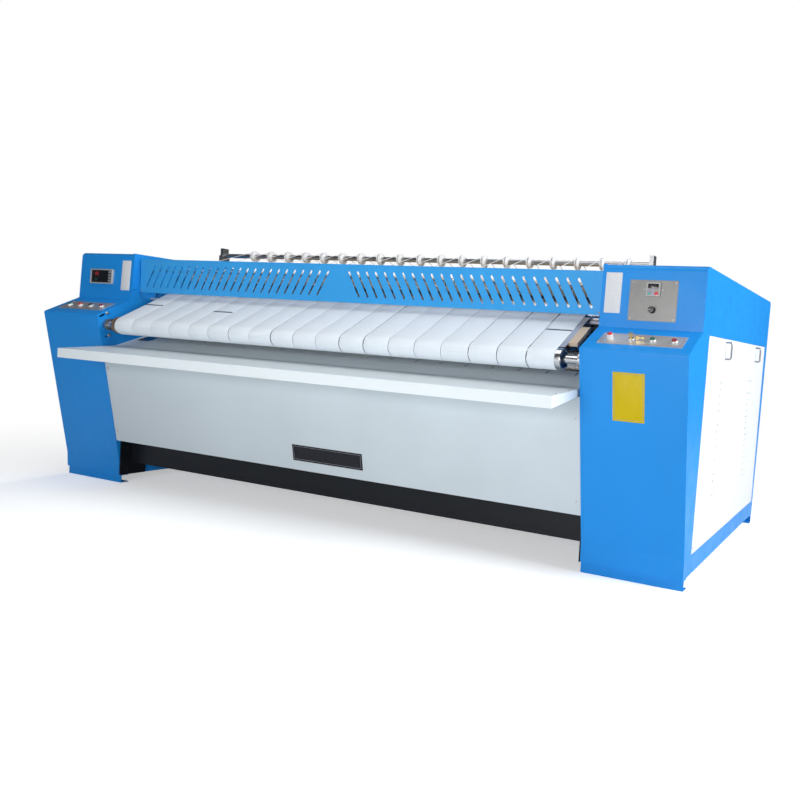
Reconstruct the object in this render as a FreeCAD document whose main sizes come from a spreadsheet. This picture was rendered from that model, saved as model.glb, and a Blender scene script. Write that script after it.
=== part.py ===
import FreeCAD, Part
import math
import os
from types import SimpleNamespace

import Sketcher

# A single-roll flatwork ironer: two cabinets carry a heated drum, wrapped by ironing belts, and the
# feed belts that bring the linen to it. Millimetres, X along the drum, Y to the back, Z up; the
# origin is on the floor under the middle of the machine.

os.makedirs("parts", exist_ok=True)
doc = FreeCAD.newDocument("flatwork_ironer")
vec = FreeCAD.Vector
X_AXIS, Y_AXIS, Z_AXIS = vec(1, 0, 0), vec(0, 1, 0), vec(0, 0, 1)

# ---------------------------------------------------------------- driving dimensions
SIZES = {
    # cabinets, seen from the side (Y, Z)
    "inner_width": 3000, "cabinet_width": 470, "frame_plate": 12, "sheet_metal": 2.5,
    "band_low_y": -635, "band_low_z": 48, "band_top_y": -640, "band_top_z": 135,
    "console_front_y": -800, "console_front_z": 985, "console_back_y": -610, "console_back_z": 1085,
    "top_front_y": -600, "top_z": 1360, "rear_top_y": 1000, "rear_low_y": 880,
    "console_bend": 12, "top_bend": 25, "seam_gap": 0.5,
    "foot_depth": 90, "foot_setback": 10, "foot_wall": 5, "foot_flange": 45,
    # lift-off side panels
    "panel_front_top_y": -495, "panel_front_low_y": -530, "panel_rear_top_y": 900,
    "panel_rear_low_y": 843, "panel_top_z": 1076, "panel_low_z": 134, "panel_gap": 3,
    "panel_sheet": 1.5, "panel_ledge": 16, "louvre_rows": 17, "louvre_pitch": 33, "louvre_length": 106,
    "louvre_height": 10, "louvre_reach": 6, "louvre_top_z": 870, "louvre_front_y": -170,
    "louvre_rear_y": 503, "louvre_sheet": 1.2,
    "handle_length": 78, "handle_reach": 28, "handle_radius": 4.5, "handle_top_z": 1060,
    "handle_front_y": -165, "handle_rear_y": 604,
    # drum and its heating
    "drum_y": -60, "drum_z": 920, "drum_radius": 400, "drum_wall": 10, "drum_side_gap": 50,
    "drum_end_plate": 12, "journal_radius": 45, "journal_bore": 26, "journal_length": 225,
    "drum_hub_radius": 90, "drum_hub_length": 30,
    "heater_count": 6, "heater_radius": 8, "heater_circle": 290, "heater_side_gap": 150,
    "spider_count": 4, "spider_sheet": 6, "spider_rim": 22, "spider_inset": 150, "carrier_wall": 4,
    "carrier_clearance": 0.4, "carrier_leg": 295, "carrier_leg_width": 60,
    "carrier_leg_sheet": 8, "carrier_foot": 10,
    # belts and rollers
    "belt_count": 19, "belt_side_gap": 117.75, "belt_gap": 5, "belt_thickness": 3, "belt_clearance": 0.3,
    "feed_roller_y": -736, "feed_roller_z": 933, "feed_roller_radius": 47, "feed_roller_overhang": 21,
    "take_up_y": -640, "take_up_z": 958, "take_up_radius": 44,
    "upper_feed_y": -444, "upper_feed_z": 1124, "upper_feed_radius": 30,
    "return_roller_radius": 30, "return_gap": 11, "return_count": 4, "nip_angle": 127,
    "first_return_angle": 65, "return_step": 60, "exit_angle": -160, "nip_gap": 0.4, "roller_side_gap": 60,
    "shaft_radius": 16,
    "feed_shaft_radius": 19, "feed_shaft_wall_gap": 0.5, "bearing_clearance": 0.05,
    "shaft_hole_clearance": 3, "bearing_size": 62, "bearing_depth": 28, "drum_bearing_size": 150,
    "drum_bearing_depth": 50, "bearing_bolt_radius": 5, "slider_wall": 20, "slider_bar": 36, "slider_rim": 14,
    "slider_bolt_up": 65, "slider_bolt_down": 62, "slider_bolt_front": 9, "slider_bolt_back": 7,
    "slot_length": 34, "slot_width": 11, "slot_up": 36, "slot_front": 47, "slot_lean": 30,
    "low_slot_down": 70,
    "low_slot_front": 6, "low_slot_length": 12, "wire_hole": 5, "wire_hole_y": -596,
    "wire_hole_z": 1145,
    "table_sheet": 3, "table_overhang": 24, "table_inset": 8, "table_start": 24, "table_end_gap": 14,
    "table_flange": 24, "table_bar": 8, "rail_width": 42, "rail_depth": 16, "rail_start": 34,
    "rail_end_gap": 96,
    # guide cords
    "wheel_y": 7, "wheel_rise": 80, "wheel_radius": 34.5, "wheel_width": 18, "wheel_groove": 6,
    "wheel_collar": 4, "wheel_hub": 5, "groove_clearance": 0.3,
    "wheel_shaft_radius": 14, "wheel_clearance": 0.06, "cord_width": 5, "cord_depth": 3,
    "press_belt_gap": 9, "wheel_bracket_width": 60, "wheel_bracket_top": 47,
    "wheel_bracket_sheet": 24, "wheel_bracket_inset": 15, "guide_rod_radius": 8,
    "front_rod_y": -490, "front_rod_z": 1272, "exit_rod_y": -553, "exit_rod_z": 850,
    "low_front_rod_y": -500, "low_front_rod_z": 420, "low_rear_rod_y": 380, "low_rear_rod_z": 420,
    "rear_rod_y": 480, "rear_rod_z": 1240,
    # guard
    "guard_side_gap": 9, "guard_low_y": -564, "guard_low_z": 1137, "guard_top_y": -569,
    "guard_top_z": 1333, "guard_sheet": 3, "guard_flange": 22, "guard_slot_margin": 43,
    "guard_slot_pitch": 56.6, "guard_slot_first": 65, "guard_slot_lean": 75, "guard_slot_width": 12,
    "guard_slot_low_z": 1166, "guard_slot_top_z": 1298, "guard_pin_radius": 5, "guard_pin_z": 1322,
    "guard_pin_setback": 12, "guard_ear": 14, "pin_clearance": 0.08,
    # chute, tray and skirts
    "chute_front_y": -690, "chute_front_z": 815, "chute_back_y": -520, "chute_back_z": 878,
    "tray_front_y": -1000, "tray_front_z": 790, "tray_lip": 50, "tray_sheet": 2.5, "tray_side_gap": 10,
    "chute_slot_width": 7, "chute_slot_start": 126, "chute_slot_length": 42, "chute_flange": 30,
    "chute_notch_start": 101, "chute_notch_width": 110, "chute_notch_inset": 30,
    "skirt_low_z": 257, "skirt_setback": 4, "skirt_sheet": 2, "skirt_flange": 25,
    "skirt_under_tray": 12, "rear_cover_top_z": 1000,
    "nameplate_x": 93, "skirt_screw_inset": 22, "skirt_screw_up": 60,
    "skirt_screw_drop": 105, "tray_screw_inset": 14, "nameplate_width": 448,
    "nameplate_height": 85, "nameplate_low": 50,
    "nameplate_sheet": 1.5,
    "beam_front_y": -571, "beam_low_z": 119, "beam_height": 140, "beam_depth": 80, "beam_wall": 6,
    "beam_plate": 8, "beam_plate_depth": 150, "beam_plate_height": 205, "beam_plate_front": 65,
    "rear_beam_y": 620, "beam_bolt_front": 23, "beam_bolt_down": 34, "beam_bolt_up": 90,
    "bolt_radius": 9, "bolt_height": 7, "screw_radius": 4.5, "screw_height": 2.5,
    # controls
    "console_plate_inset": 240, "console_plate_width": 372, "console_plate_depth": 98,
    "console_plate_sheet": 2, "console_plate_up": 52, "control_pitch": 93.5, "bezel_radius": 15,
    "bezel_height": 8, "bezel_wall": 3.5, "button_clearance": 0.4, "button_height": 9,
    "button_rest": 5, "button_round": 1.5, "collar_height": 21, "collar_radius": 14.5,
    "key_width": 20, "key_length": 24, "key_sheet": 2.4, "key_ring_radius": 14,
    "control_plate_inset": 240, "control_plate_width": 216, "control_plate_low": 34,
    "control_plate_height": 175, "control_plate_sheet": 1.5, "keypad_width": 63, "keypad_height": 60,
    "keypad_depth": 9, "keypad_low": 139, "knob_radius": 16, "knob_height": 17, "knob_up": 82,
    "knob_stem_radius": 4, "knob_stem_height": 3,
    "thermostat_inset": 268, "thermostat_width": 195, "thermostat_height": 88, "thermostat_depth": 12,
    "thermostat_low": 89, "thermostat_frame": 9, "thermostat_window": 114,
    # drive and electrics, inside the cabinets
    "chain_pitch": 25.4, "drum_teeth": 57, "motor_teeth": 15, "sprocket_width": 15, "sprocket_inset": 100,
    "chain_width": 30, "chain_depth": 14, "motor_y": 330, "motor_z": 330, "output_radius": 20,
    "gearbox_inset": 140, "gearbox_width": 150, "gearbox_size": 190, "motor_radius": 85,
    "motor_length": 260, "motor_shelf": 12, "inverter_width": 180, "inverter_height": 290,
    "inverter_depth": 160, "electric_y": 500, "electric_z": 430, "electric_plate_width": 300,
    "electric_plate_height": 560, "electric_stand": 30, "contactor_count": 4, "contactor_depth": 90,
    "contactor_height": 80, "switchgear_inset": 20, "contactor_size": 55,
}
sheet = doc.addObject("Spreadsheet::Sheet", "size")
for row, (alias, value) in enumerate(SIZES.items(), start=1):
    sheet.set(f"A{row}", alias.replace("_", " "))
    sheet.set(f"B{row}", str(value))
    sheet.setAlias(f"B{row}", alias)
doc.recompute()
size = SimpleNamespace(**{alias: float(sheet.get(alias)) for alias in SIZES})

nodes = {}                                   # sub-part label -> document object


def keep(label, obj):
    """Give a finished sub-part its label and list it among the sub-parts."""
    obj.Label = label
    nodes[label] = obj
    return obj


# ---------------------------------------------------------------- helpers: bound primitives
def bind(obj, expressions):
    for prop, text in expressions.items():
        obj.setExpression(prop, str(text))
    return obj


def at(obj, x="0", y="0", z="0"):
    """Tie the object's place to the sheet."""
    return bind(obj, {"Placement.Base.x": x, "Placement.Base.y": y, "Placement.Base.z": z})


def box(name, length, width, height, x, y, z):
    obj = doc.addObject("Part::Box", name)
    bind(obj, {"Length": length, "Width": width, "Height": height})
    return at(obj, x, y, z)


def rod(name, radius, length, x, y, z, axis=X_AXIS):
    """A round bar that starts at (x, y, z) and runs along the axis."""
    obj = doc.addObject("Part::Cylinder", name)
    obj.Placement.Rotation = FreeCAD.Rotation(Z_AXIS, axis)
    bind(obj, {"Radius": radius, "Height": length})
    return at(obj, x, y, z)


def group(name, members):
    """Separate solids that share one node."""
    obj = doc.addObject("Part::Compound", name)
    obj.Links = members
    return obj


def cut(name, base, tools):
    obj = doc.addObject("Part::Cut", name)
    obj.Base = base
    obj.Tool = tools[0] if len(tools) == 1 else group(name + "_tools", tools)
    return obj


def fuse(name, members):
    obj = doc.addObject("Part::MultiFuse", name)
    obj.Shapes = members
    return obj


def mirrored(name, source):
    """The same piece for the other cabinet, mirrored in the machine's middle plane."""
    obj = doc.addObject("Part::Mirroring", name)
    obj.Source = source
    obj.Normal = X_AXIS
    return obj


def shape_piece(name, shape, place=None):
    obj = doc.addObject("Part::Feature", name)
    obj.Shape = shape
    if place is not None:
        obj.Placement = place
    return obj


# ---------------------------------------------------------------- helpers: bodies from sketches
def body_plane(body, role):
    return next(f for f in body.Origin.OriginFeatures if f.Role == role)


def outline_sketch(body, name, role, corners):
    """A closed polygon whose corners are tied, one by one, to expressions of the sheet."""
    sketch = body.newObject("Sketcher::SketchObject", name)
    sketch.AttachmentSupport = [(body_plane(body, role), "")]
    sketch.MapMode = "FlatFace"
    count = len(corners)
    start = [vec(100 * math.cos(math.tau * k / count), 100 * math.sin(math.tau * k / count), 0)
             for k in range(count)]
    for k in range(count):
        sketch.addGeometry(Part.LineSegment(start[k], start[(k + 1) % count]), False)
    for k in range(count):
        sketch.addConstraint(Sketcher.Constraint("Coincident", k, 2, (k + 1) % count, 1))
    for k, (across, up) in enumerate(corners):
        for kind, value, text in (("DistanceX", start[k].x, across), ("DistanceY", start[k].y, up)):
            index = sketch.addConstraint(Sketcher.Constraint(kind, k, 1, value))
            sketch.setExpression(f"Constraints[{index}]", str(text))
    return sketch


def side_profile(name, corners, thickness, x):
    """A plate or folded sheet whose outline is drawn in the side view and runs along X."""
    body = doc.addObject("PartDesign::Body", name)
    sketch = outline_sketch(body, name + "_outline", "YZ_Plane", corners)
    pad = body.newObject("PartDesign::Pad", name + "_pad")
    pad.Profile = sketch
    pad.setExpression("Length", str(thickness))
    body.setExpression("Placement.Base.x", str(x))
    return body


def turned(name, corners, y, z):
    """A turned piece: half its lengthwise section, turned about an axis parallel to X."""
    body = doc.addObject("PartDesign::Body", name)
    sketch = outline_sketch(body, name + "_section", "XZ_Plane", corners)
    turn = body.newObject("PartDesign::Revolution", name + "_turn")
    turn.Profile = sketch
    turn.ReferenceAxis = (sketch, ["H_Axis"])
    turn.Angle = 360
    bind(body, {"Placement.Base.y": y, "Placement.Base.z": z})
    return body


# ---------------------------------------------------------------- helpers: plane paths
def point(y, z):
    return vec(0, y, z)


def bent_outline(corners, radii):
    """A closed wire through the corners, each bend rounded by its own radius (0 is sharp)."""
    count = len(corners)
    before, after, middle = [], [], []
    for k in range(count):
        here, back, ahead = corners[k], corners[k - 1], corners[(k + 1) % count]
        to_back, to_ahead = (back - here).normalize(), (ahead - here).normalize()
        half = to_back.getAngle(to_ahead) / 2
        reach = radii[k] / math.tan(half)
        before.append(here + to_back * reach)
        after.append(here + to_ahead * reach)
        inward = (to_back + to_ahead).normalize()
        middle.append(here + inward * (radii[k] / math.sin(half) - radii[k]))
    edges = []
    for k in range(count):
        if radii[k] > 0:
            edges.append(Part.Arc(before[k], middle[k], after[k]).toShape())
        edges.append(Part.LineSegment(after[k], before[(k + 1) % count]).toShape())
    return Part.Wire(edges)


def loop_outline(wheels, shift, depth):
    """One face of a belt round circles (y, z, radius, turn), shifted outwards from the inner face.

    turn is +1 where the belt goes round anticlockwise, with the circle against its inner face, and
    -1 where the circle lies against its outer face. Straight runs are the tangents between them.
    """
    count = len(wheels)
    radius = [r + (shift if turn > 0 else depth - shift) for _, _, r, turn in wheels]
    leave, arrive = [None] * count, [None] * count
    for k in range(count):
        nxt = (k + 1) % count
        here, there = point(*wheels[k][:2]), point(*wheels[nxt][:2])
        run = there - here
        turn_here, turn_there = wheels[k][3], wheels[nxt][3]
        lean = math.asin((turn_here * radius[k] - turn_there * radius[nxt]) / run.Length)
        heading = math.atan2(run.z, run.y) + lean
        right = point(math.sin(heading), -math.cos(heading))
        leave[k] = here + right * (turn_here * radius[k])
        arrive[nxt] = there + right * (turn_there * radius[nxt])
    edges = []
    for k in range(count):
        centre, turn = point(*wheels[k][:2]), wheels[k][3]
        first, last = arrive[k] - centre, leave[k] - centre
        start = math.atan2(first.z, first.y)
        sweep = (turn * (math.atan2(last.z, last.y) - start)) % math.tau
        half = start + turn * sweep / 2
        top = centre + point(math.cos(half), math.sin(half)) * radius[k]
        edges.append(Part.Arc(arrive[k], top, leave[k]).toShape())
        edges.append(Part.LineSegment(leave[k], arrive[(k + 1) % count]).toShape())
    return Part.Wire(edges)


def belt(wheels, depth, width, x):
    """An endless band round the circles, with its left edge at x."""
    inner = Part.Face(loop_outline(wheels, 0, depth))
    outer = Part.Face(loop_outline(wheels, depth, depth))
    ring = outer.cut(inner) if outer.Area > inner.Area else inner.cut(outer)
    band = ring.Faces[0].extrude(vec(width, 0, 0))
    band.translate(vec(x, 0, 0))
    return band


# ---------------------------------------------------------------- shared places
HALF_IN = "size.inner_width / 2"
HALF_OUT = "(size.inner_width / 2 + size.cabinet_width)"
half_in = size.inner_width / 2
half_out = half_in + size.cabinet_width
HALF_BELTS = f"({HALF_IN} - size.belt_side_gap)"
half_belts = half_in - size.belt_side_gap
belt_pitch = 2 * half_belts / size.belt_count
cord_x = [belt_pitch * (k + 1) - half_belts for k in range(int(size.belt_count))]
WHEEL_Z = "(size.top_z + size.wheel_rise)"
wheel_z = size.top_z + size.wheel_rise
half_drum = half_in - size.drum_side_gap
half_heater = half_in - size.heater_side_gap
console_x = half_in + size.console_plate_inset
control_x = half_in + size.control_plate_inset
thermostat_x = -(half_in + size.thermostat_inset)
sprocket_x = half_in + size.sprocket_inset
gearbox_x = half_in + size.gearbox_inset

# rollers round the drum: the nip roller presses on the drum, the others only bring the belts back
nip_circle = size.drum_radius + size.belt_thickness + size.return_roller_radius + size.nip_gap * 2.5
return_circle = size.drum_radius + size.belt_thickness + size.return_gap + size.return_roller_radius
NIP_CIRCLE = "(size.drum_radius + size.belt_thickness + size.return_roller_radius + size.nip_gap * 2.5)"
RETURN_CIRCLE = "(size.drum_radius + size.belt_thickness + size.return_gap + size.return_roller_radius)"


def on_circle(circle, angle):
    return (size.drum_y + circle * math.cos(math.radians(angle)),
            size.drum_z + circle * math.sin(math.radians(angle)))


def ring_places():
    """Name, (y, z) as numbers and as expressions, of every roller round the drum."""
    places = []
    rollers = [("nip_roller", size.nip_angle, "size.nip_angle", True)]
    for k in range(int(size.return_count)):
        rollers.append((f"return_roller_{k + 1}", size.first_return_angle - size.return_step * k,
                        f"(size.first_return_angle - size.return_step * {k})", False))
    rollers.append(("exit_roller", size.exit_angle, "size.exit_angle", True))
    for name, angle, degrees, pressing in rollers:
        circle, text = (nip_circle, NIP_CIRCLE) if pressing else (return_circle, RETURN_CIRCLE)
        places.append((name, on_circle(circle, angle),
                       (f"size.drum_y + {text} * cos({degrees})", f"size.drum_z + {text} * sin({degrees})")))
    return places


RING = ring_places()

# ---------------------------------------------------------------- cabinets
outline_corners = [
    point(size.band_low_y, size.band_low_z), point(size.band_top_y, size.band_top_z),
    point(size.console_front_y, size.console_front_z), point(size.console_back_y, size.console_back_z),
    point(size.top_front_y, size.top_z), point(size.rear_top_y, size.top_z),
    point(size.rear_low_y, size.band_low_z),
]
outline_radii = [0, 0, size.console_bend, 0, size.top_bend, size.top_bend, 0]
OUTLINE = [
    ("size.band_low_y", "size.band_low_z"), ("size.band_top_y", "size.band_top_z"),
    ("size.console_front_y", "size.console_front_z"), ("size.console_back_y", "size.console_back_z"),
    ("size.top_front_y", "size.top_z"), ("size.rear_top_y", "size.top_z"),
    ("size.rear_low_y", "size.band_low_z"),
]
panel_corners = [
    point(size.panel_front_low_y, size.panel_low_z), point(size.panel_front_top_y, size.panel_top_z),
    point(size.panel_rear_top_y, size.panel_top_z), point(size.panel_rear_low_y, size.panel_low_z),
]


def inset(corners, distance):
    """The same polygon, drawn in or (with a negative distance) out by the distance."""
    wire = Part.makePolygon(corners + corners[:1])
    return wire.makeOffset2D(-distance, 2)


def cabinet_shell():
    """Folded sheet: front, console, top, rear and outer side, open towards the side frame."""
    outer_wire = bent_outline(outline_corners, outline_radii)
    depth = size.cabinet_width - size.frame_plate - size.seam_gap
    block = Part.Face(outer_wire).extrude(vec(depth, 0, 0))
    hollow_wire = outer_wire.makeOffset2D(-size.sheet_metal)
    hollow = Part.Face(hollow_wire).extrude(vec(depth - size.sheet_metal, 0, 0))
    shell = block.cut(hollow)
    # the floor side stays open between two folded hems
    floor = Part.makeBox(depth - 2 * size.foot_flange, size.rear_low_y - size.band_low_y
                         - 2 * size.foot_depth, size.sheet_metal * 3,
                         vec(size.foot_flange, size.band_low_y + size.foot_depth,
                             size.band_low_z - size.sheet_metal))
    shell = shell.cut(floor)
    # recess and opening for the lift-off panel
    recess = Part.Face(inset(panel_corners, -size.panel_gap)).extrude(vec(size.panel_sheet, 0, 0))
    recess.translate(vec(depth - size.panel_sheet, 0, 0))
    opening = Part.Face(inset(panel_corners, size.panel_ledge)).extrude(vec(size.sheet_metal * 2, 0, 0))
    opening.translate(vec(depth - size.sheet_metal * 1.5, 0, 0))
    return shell.cut(recess).cut(opening)


shell_x = half_in + size.frame_plate + size.seam_gap
right_shell = shape_piece("right_shell", cabinet_shell(),
                          FreeCAD.Placement(vec(shell_x, 0, 0), FreeCAD.Rotation()))
keep("right_cabinet_shell", right_shell)
keep("left_cabinet_shell", mirrored("left_shell", right_shell))


def side_panel():
    """White lift-off panel: a flat sheet with two columns of pressed louvres."""
    sheet_face = Part.Face(Part.makePolygon(panel_corners + panel_corners[:1]))
    plate = sheet_face.extrude(vec(size.panel_sheet, 0, 0))
    lean = ((size.panel_front_top_y - size.panel_front_low_y) / (size.panel_top_z - size.panel_low_z))
    slots, hoods = [], []
    for column_y, column_lean in ((size.louvre_front_y, lean), (size.louvre_rear_y, 0)):
        for row in range(int(size.louvre_rows)):
            z = size.louvre_top_z - row * size.louvre_pitch
            y = column_y - column_lean * row * size.louvre_pitch - size.louvre_length / 2
            slots.append(Part.makeBox(size.panel_sheet * 4, size.louvre_length - 2 * size.louvre_sheet,
                                      size.louvre_height - size.louvre_sheet,
                                      vec(-size.panel_sheet, y + size.louvre_sheet, z)))
            side = [vec(size.panel_sheet, y, z), vec(size.panel_sheet + size.louvre_reach, y, z),
                    vec(size.panel_sheet, y, z + size.louvre_height)]
            hood = Part.Face(Part.makePolygon(side + side[:1])).extrude(vec(0, size.louvre_length, 0))
            core = [vec(size.panel_sheet / 2, y, z - 1),
                    vec(size.panel_sheet + size.louvre_reach - size.louvre_sheet, y, z - 1),
                    vec(size.panel_sheet / 2, y, z + size.louvre_height - size.louvre_sheet * 1.6)]
            core_solid = Part.Face(Part.makePolygon(core + core[:1])).extrude(
                vec(0, size.louvre_length - 2 * size.louvre_sheet, 0))
            core_solid.translate(vec(0, size.louvre_sheet, 0))
            hoods.append(hood.cut(core_solid))
    plate = plate.cut(Part.makeCompound(slots))
    return plate.fuse(hoods).removeSplitter()


panel_x = half_out - size.panel_sheet
right_panel = shape_piece("right_panel", side_panel(),
                          FreeCAD.Placement(vec(panel_x, 0, 0), FreeCAD.Rotation()))
keep("right_side_panel", right_panel)
keep("left_side_panel", mirrored("left_panel", right_panel))


def panel_handle(y):
    """A bow handle: a bent round bar standing off the panel on two legs."""
    low, top = size.handle_top_z - size.handle_length, size.handle_top_z
    reach, radius = size.handle_reach, size.handle_radius
    bend = radius * 2.2
    legs = [vec(0, y, top), vec(reach, y, top), vec(reach, y, low), vec(0, y, low)]
    corner = bend * (1 - math.sqrt(0.5))
    path = Part.Wire([
        Part.LineSegment(legs[0], vec(reach - bend, y, top)).toShape(),
        Part.Arc(vec(reach - bend, y, top), vec(reach - corner, y, top - corner),
                 vec(reach, y, top - bend)).toShape(),
        Part.LineSegment(vec(reach, y, top - bend), vec(reach, y, low + bend)).toShape(),
        Part.Arc(vec(reach, y, low + bend), vec(reach - corner, y, low + corner),
                 vec(reach - bend, y, low)).toShape(),
        Part.LineSegment(vec(reach - bend, y, low), legs[3]).toShape(),
    ])
    ring = Part.Wire(Part.makeCircle(radius, legs[0], X_AXIS))
    return path.makePipeShell([ring], True, True)


handles = []
for handle_y in (size.handle_front_y, size.handle_rear_y):
    right = panel_handle(handle_y)
    right.translate(vec(half_out, 0, 0))
    handles += [right, right.mirror(vec(0, 0, 0), X_AXIS)]
keep("panel_handles", shape_piece("handles", Part.makeCompound(handles)))


# ---------------------------------------------------------------- side frames
def hole(name, radius, y, z, x=HALF_IN):
    """A hole tool through one side frame."""
    return rod(name, radius, "size.frame_plate * 3", f"{x} - size.frame_plate", y, z)


frame_body = side_profile("frame_plate_right", OUTLINE, "size.frame_plate", HALF_IN)
frame_holes = [hole("drum_hole", "size.journal_radius + size.shaft_hole_clearance",
                    "size.drum_y", "size.drum_z")]
for roller_name, _, (text_y, text_z) in RING:
    frame_holes.append(hole(roller_name + "_hole", "size.shaft_radius + size.shaft_hole_clearance",
                            text_y, text_z))
frame_holes.append(hole("upper_feed_hole", "size.shaft_radius + size.shaft_hole_clearance",
                        "size.upper_feed_y", "size.upper_feed_z"))
frame_holes.append(hole("wire_hole", "size.wire_hole", "size.wire_hole_y", "size.wire_hole_z"))
for slot_name, slot_y, slot_z, slot_run, lean in (
        ("adjusting_slot", "size.feed_roller_y - size.slot_front", "size.feed_roller_z + size.slot_up",
         "size.slot_length", size.slot_lean),
        ("low_slot", "size.feed_roller_y - size.low_slot_front - size.low_slot_length / 2",
         "size.feed_roller_z - size.low_slot_down - size.slot_width / 2", "size.low_slot_length", 0)):
    slot = box(slot_name, "size.frame_plate * 3", slot_run, "size.slot_width",
               f"{HALF_IN} - size.frame_plate", slot_y, slot_z)
    slot.Placement.Rotation = FreeCAD.Rotation(X_AXIS, lean)
    frame_holes.append(slot)
right_frame = cut("right_frame", frame_body, frame_holes)
keep("right_side_frame", right_frame)
keep("left_side_frame", mirrored("left_frame", right_frame))


def foot_rail(name, y, flange_y):
    """A folded foot: an upright web under the cabinet with a flange on the floor."""
    depth = "size.cabinet_width"
    web = box(name + "_web", depth, "size.foot_wall", "size.band_low_z", HALF_IN, y, "0")
    flange = box(name + "_flange", depth, "size.foot_flange", "size.foot_wall", HALF_IN, flange_y, "0")
    top = box(name + "_top", depth, "size.foot_flange", "size.foot_wall", HALF_IN, flange_y,
              "size.band_low_z - size.foot_wall")
    return fuse(name, [web, flange, top])


front_foot = foot_rail("front_foot", "size.band_low_y + size.foot_setback",
                       "size.band_low_y + size.foot_setback")
rear_foot = foot_rail("rear_foot", "size.rear_low_y - size.foot_setback - size.foot_wall",
                      "size.rear_low_y - size.foot_setback - size.foot_flange")
keep("foot_rails", group("feet", [front_foot, rear_foot, mirrored("left_front_foot", front_foot),
                                  mirrored("left_rear_foot", rear_foot)]))

# ---------------------------------------------------------------- drum and its heating
HALF_DRUM = f"({HALF_IN} - size.drum_side_gap)"
drum = turned("drum_tube", [
    (f"-{HALF_DRUM}", "size.drum_radius - size.drum_wall"), (f"-{HALF_DRUM}", "size.drum_radius"),
    (HALF_DRUM, "size.drum_radius"), (HALF_DRUM, "size.drum_radius - size.drum_wall"),
], "size.drum_y", "size.drum_z")
keep("drum_shell", drum)

end_plate = turned("drum_end_right", [
    (f"{HALF_DRUM} - size.drum_end_plate", "size.journal_bore"),
    (f"{HALF_DRUM} - size.drum_end_plate", "size.drum_radius - size.drum_wall"),
    (HALF_DRUM, "size.drum_radius - size.drum_wall"),
    (HALF_DRUM, "size.drum_hub_radius"),
    (f"{HALF_DRUM} + size.drum_hub_length", "size.drum_hub_radius - 20"),
    (f"{HALF_DRUM} + size.drum_hub_length", "size.journal_radius"),
    (f"{HALF_DRUM} + size.journal_length", "size.journal_radius"),
    (f"{HALF_DRUM} + size.journal_length", "size.journal_bore"),
], "size.drum_y", "size.drum_z")
keep("drum_ends", group("drum_end_pair", [end_plate, mirrored("drum_end_left", end_plate)]))


def heater_carrier():
    """A fixed tube through the hollow journals, with spiders that hold the heater rods."""
    outside = size.journal_bore - size.carrier_clearance
    half = half_drum + size.journal_length + 20
    tube = Part.makeCylinder(outside, 2 * half, vec(-half, 0, 0), X_AXIS)
    tube = tube.cut(Part.makeCylinder(outside - size.carrier_wall, 2 * half, vec(-half, 0, 0), X_AXIS))
    spiders = []
    for k in range(int(size.spider_count)):
        x = ((2 * k / (size.spider_count - 1) - 1) * (half_heater - size.spider_inset)
             - size.spider_sheet / 2)
        rim_out = size.heater_circle + size.spider_rim
        rim = Part.makeCylinder(rim_out, size.spider_sheet, vec(x, 0, 0), X_AXIS)
        rim = rim.cut(Part.makeCylinder(rim_out - 2 * size.spider_rim, size.spider_sheet,
                                        vec(x, 0, 0), X_AXIS))
        for arm in range(int(size.heater_count)):
            bar = Part.makeBox(size.spider_sheet, size.spider_rim, size.heater_circle - outside / 2,
                               vec(x, -size.spider_rim / 2, outside / 2))
            bar.rotate(vec(0, 0, 0), X_AXIS, 360 / size.heater_count * (arm + 0.5))
            rim = rim.fuse(bar)
        spiders.append(rim.cut(Part.makeCylinder(outside, size.spider_sheet, vec(x, 0, 0), X_AXIS)))
    # a foot at each end ties the tube to the outside of the side frame
    outer_x, wall_x = half - 5, half_in + size.frame_plate
    leg_sheet, leg_width = size.carrier_leg_sheet, size.carrier_leg_width
    for side in (-1, 1):
        leg = Part.makeBox(leg_sheet, leg_width, size.carrier_leg + outside * 1.4,
                           vec(side * outer_x - leg_sheet / 2, -leg_width / 2, -size.carrier_leg))
        foot = Part.makeBox(outer_x - wall_x + leg_sheet / 2, leg_width, size.carrier_foot,
                            vec(min(side * wall_x, side * (outer_x + leg_sheet / 2)), -leg_width / 2,
                                -size.carrier_leg))
        foot_piece = leg.fuse(foot).cut(Part.makeCylinder(outside, 30, vec(side * outer_x - 15, 0, 0),
                                                          X_AXIS))
        spiders.append(foot_piece)
    whole = tube.fuse(spiders)
    return whole.cut(Part.makeCompound(heater_rods(size.heater_radius)))


def heater_rods(radius):
    rods = []
    for k in range(int(size.heater_count)):
        angle = math.tau * k / size.heater_count
        rods.append(Part.makeCylinder(radius, 2 * half_heater,
                                      vec(-half_heater, size.heater_circle * math.sin(angle),
                                          size.heater_circle * math.cos(angle)), X_AXIS))
    return rods


drum_place = FreeCAD.Placement(vec(0, size.drum_y, size.drum_z), FreeCAD.Rotation())
keep("heater_carrier", shape_piece("carrier", heater_carrier(), drum_place))
keep("heater_rods", shape_piece("rods", Part.makeCompound(heater_rods(size.heater_radius)), drum_place))


# ---------------------------------------------------------------- rollers
def roller(name, radius, half_length, shaft, shaft_end, y, z):
    """A turned roller with a journal at each end."""
    corners = [(f"-({shaft_end})", "0"), (f"-({shaft_end})", shaft), (f"-({half_length})", shaft),
               (f"-({half_length})", radius), (half_length, radius), (half_length, shaft),
               (shaft_end, shaft), (shaft_end, "0")]
    return keep(name, turned(name + "_body", corners, y, z))


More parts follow.
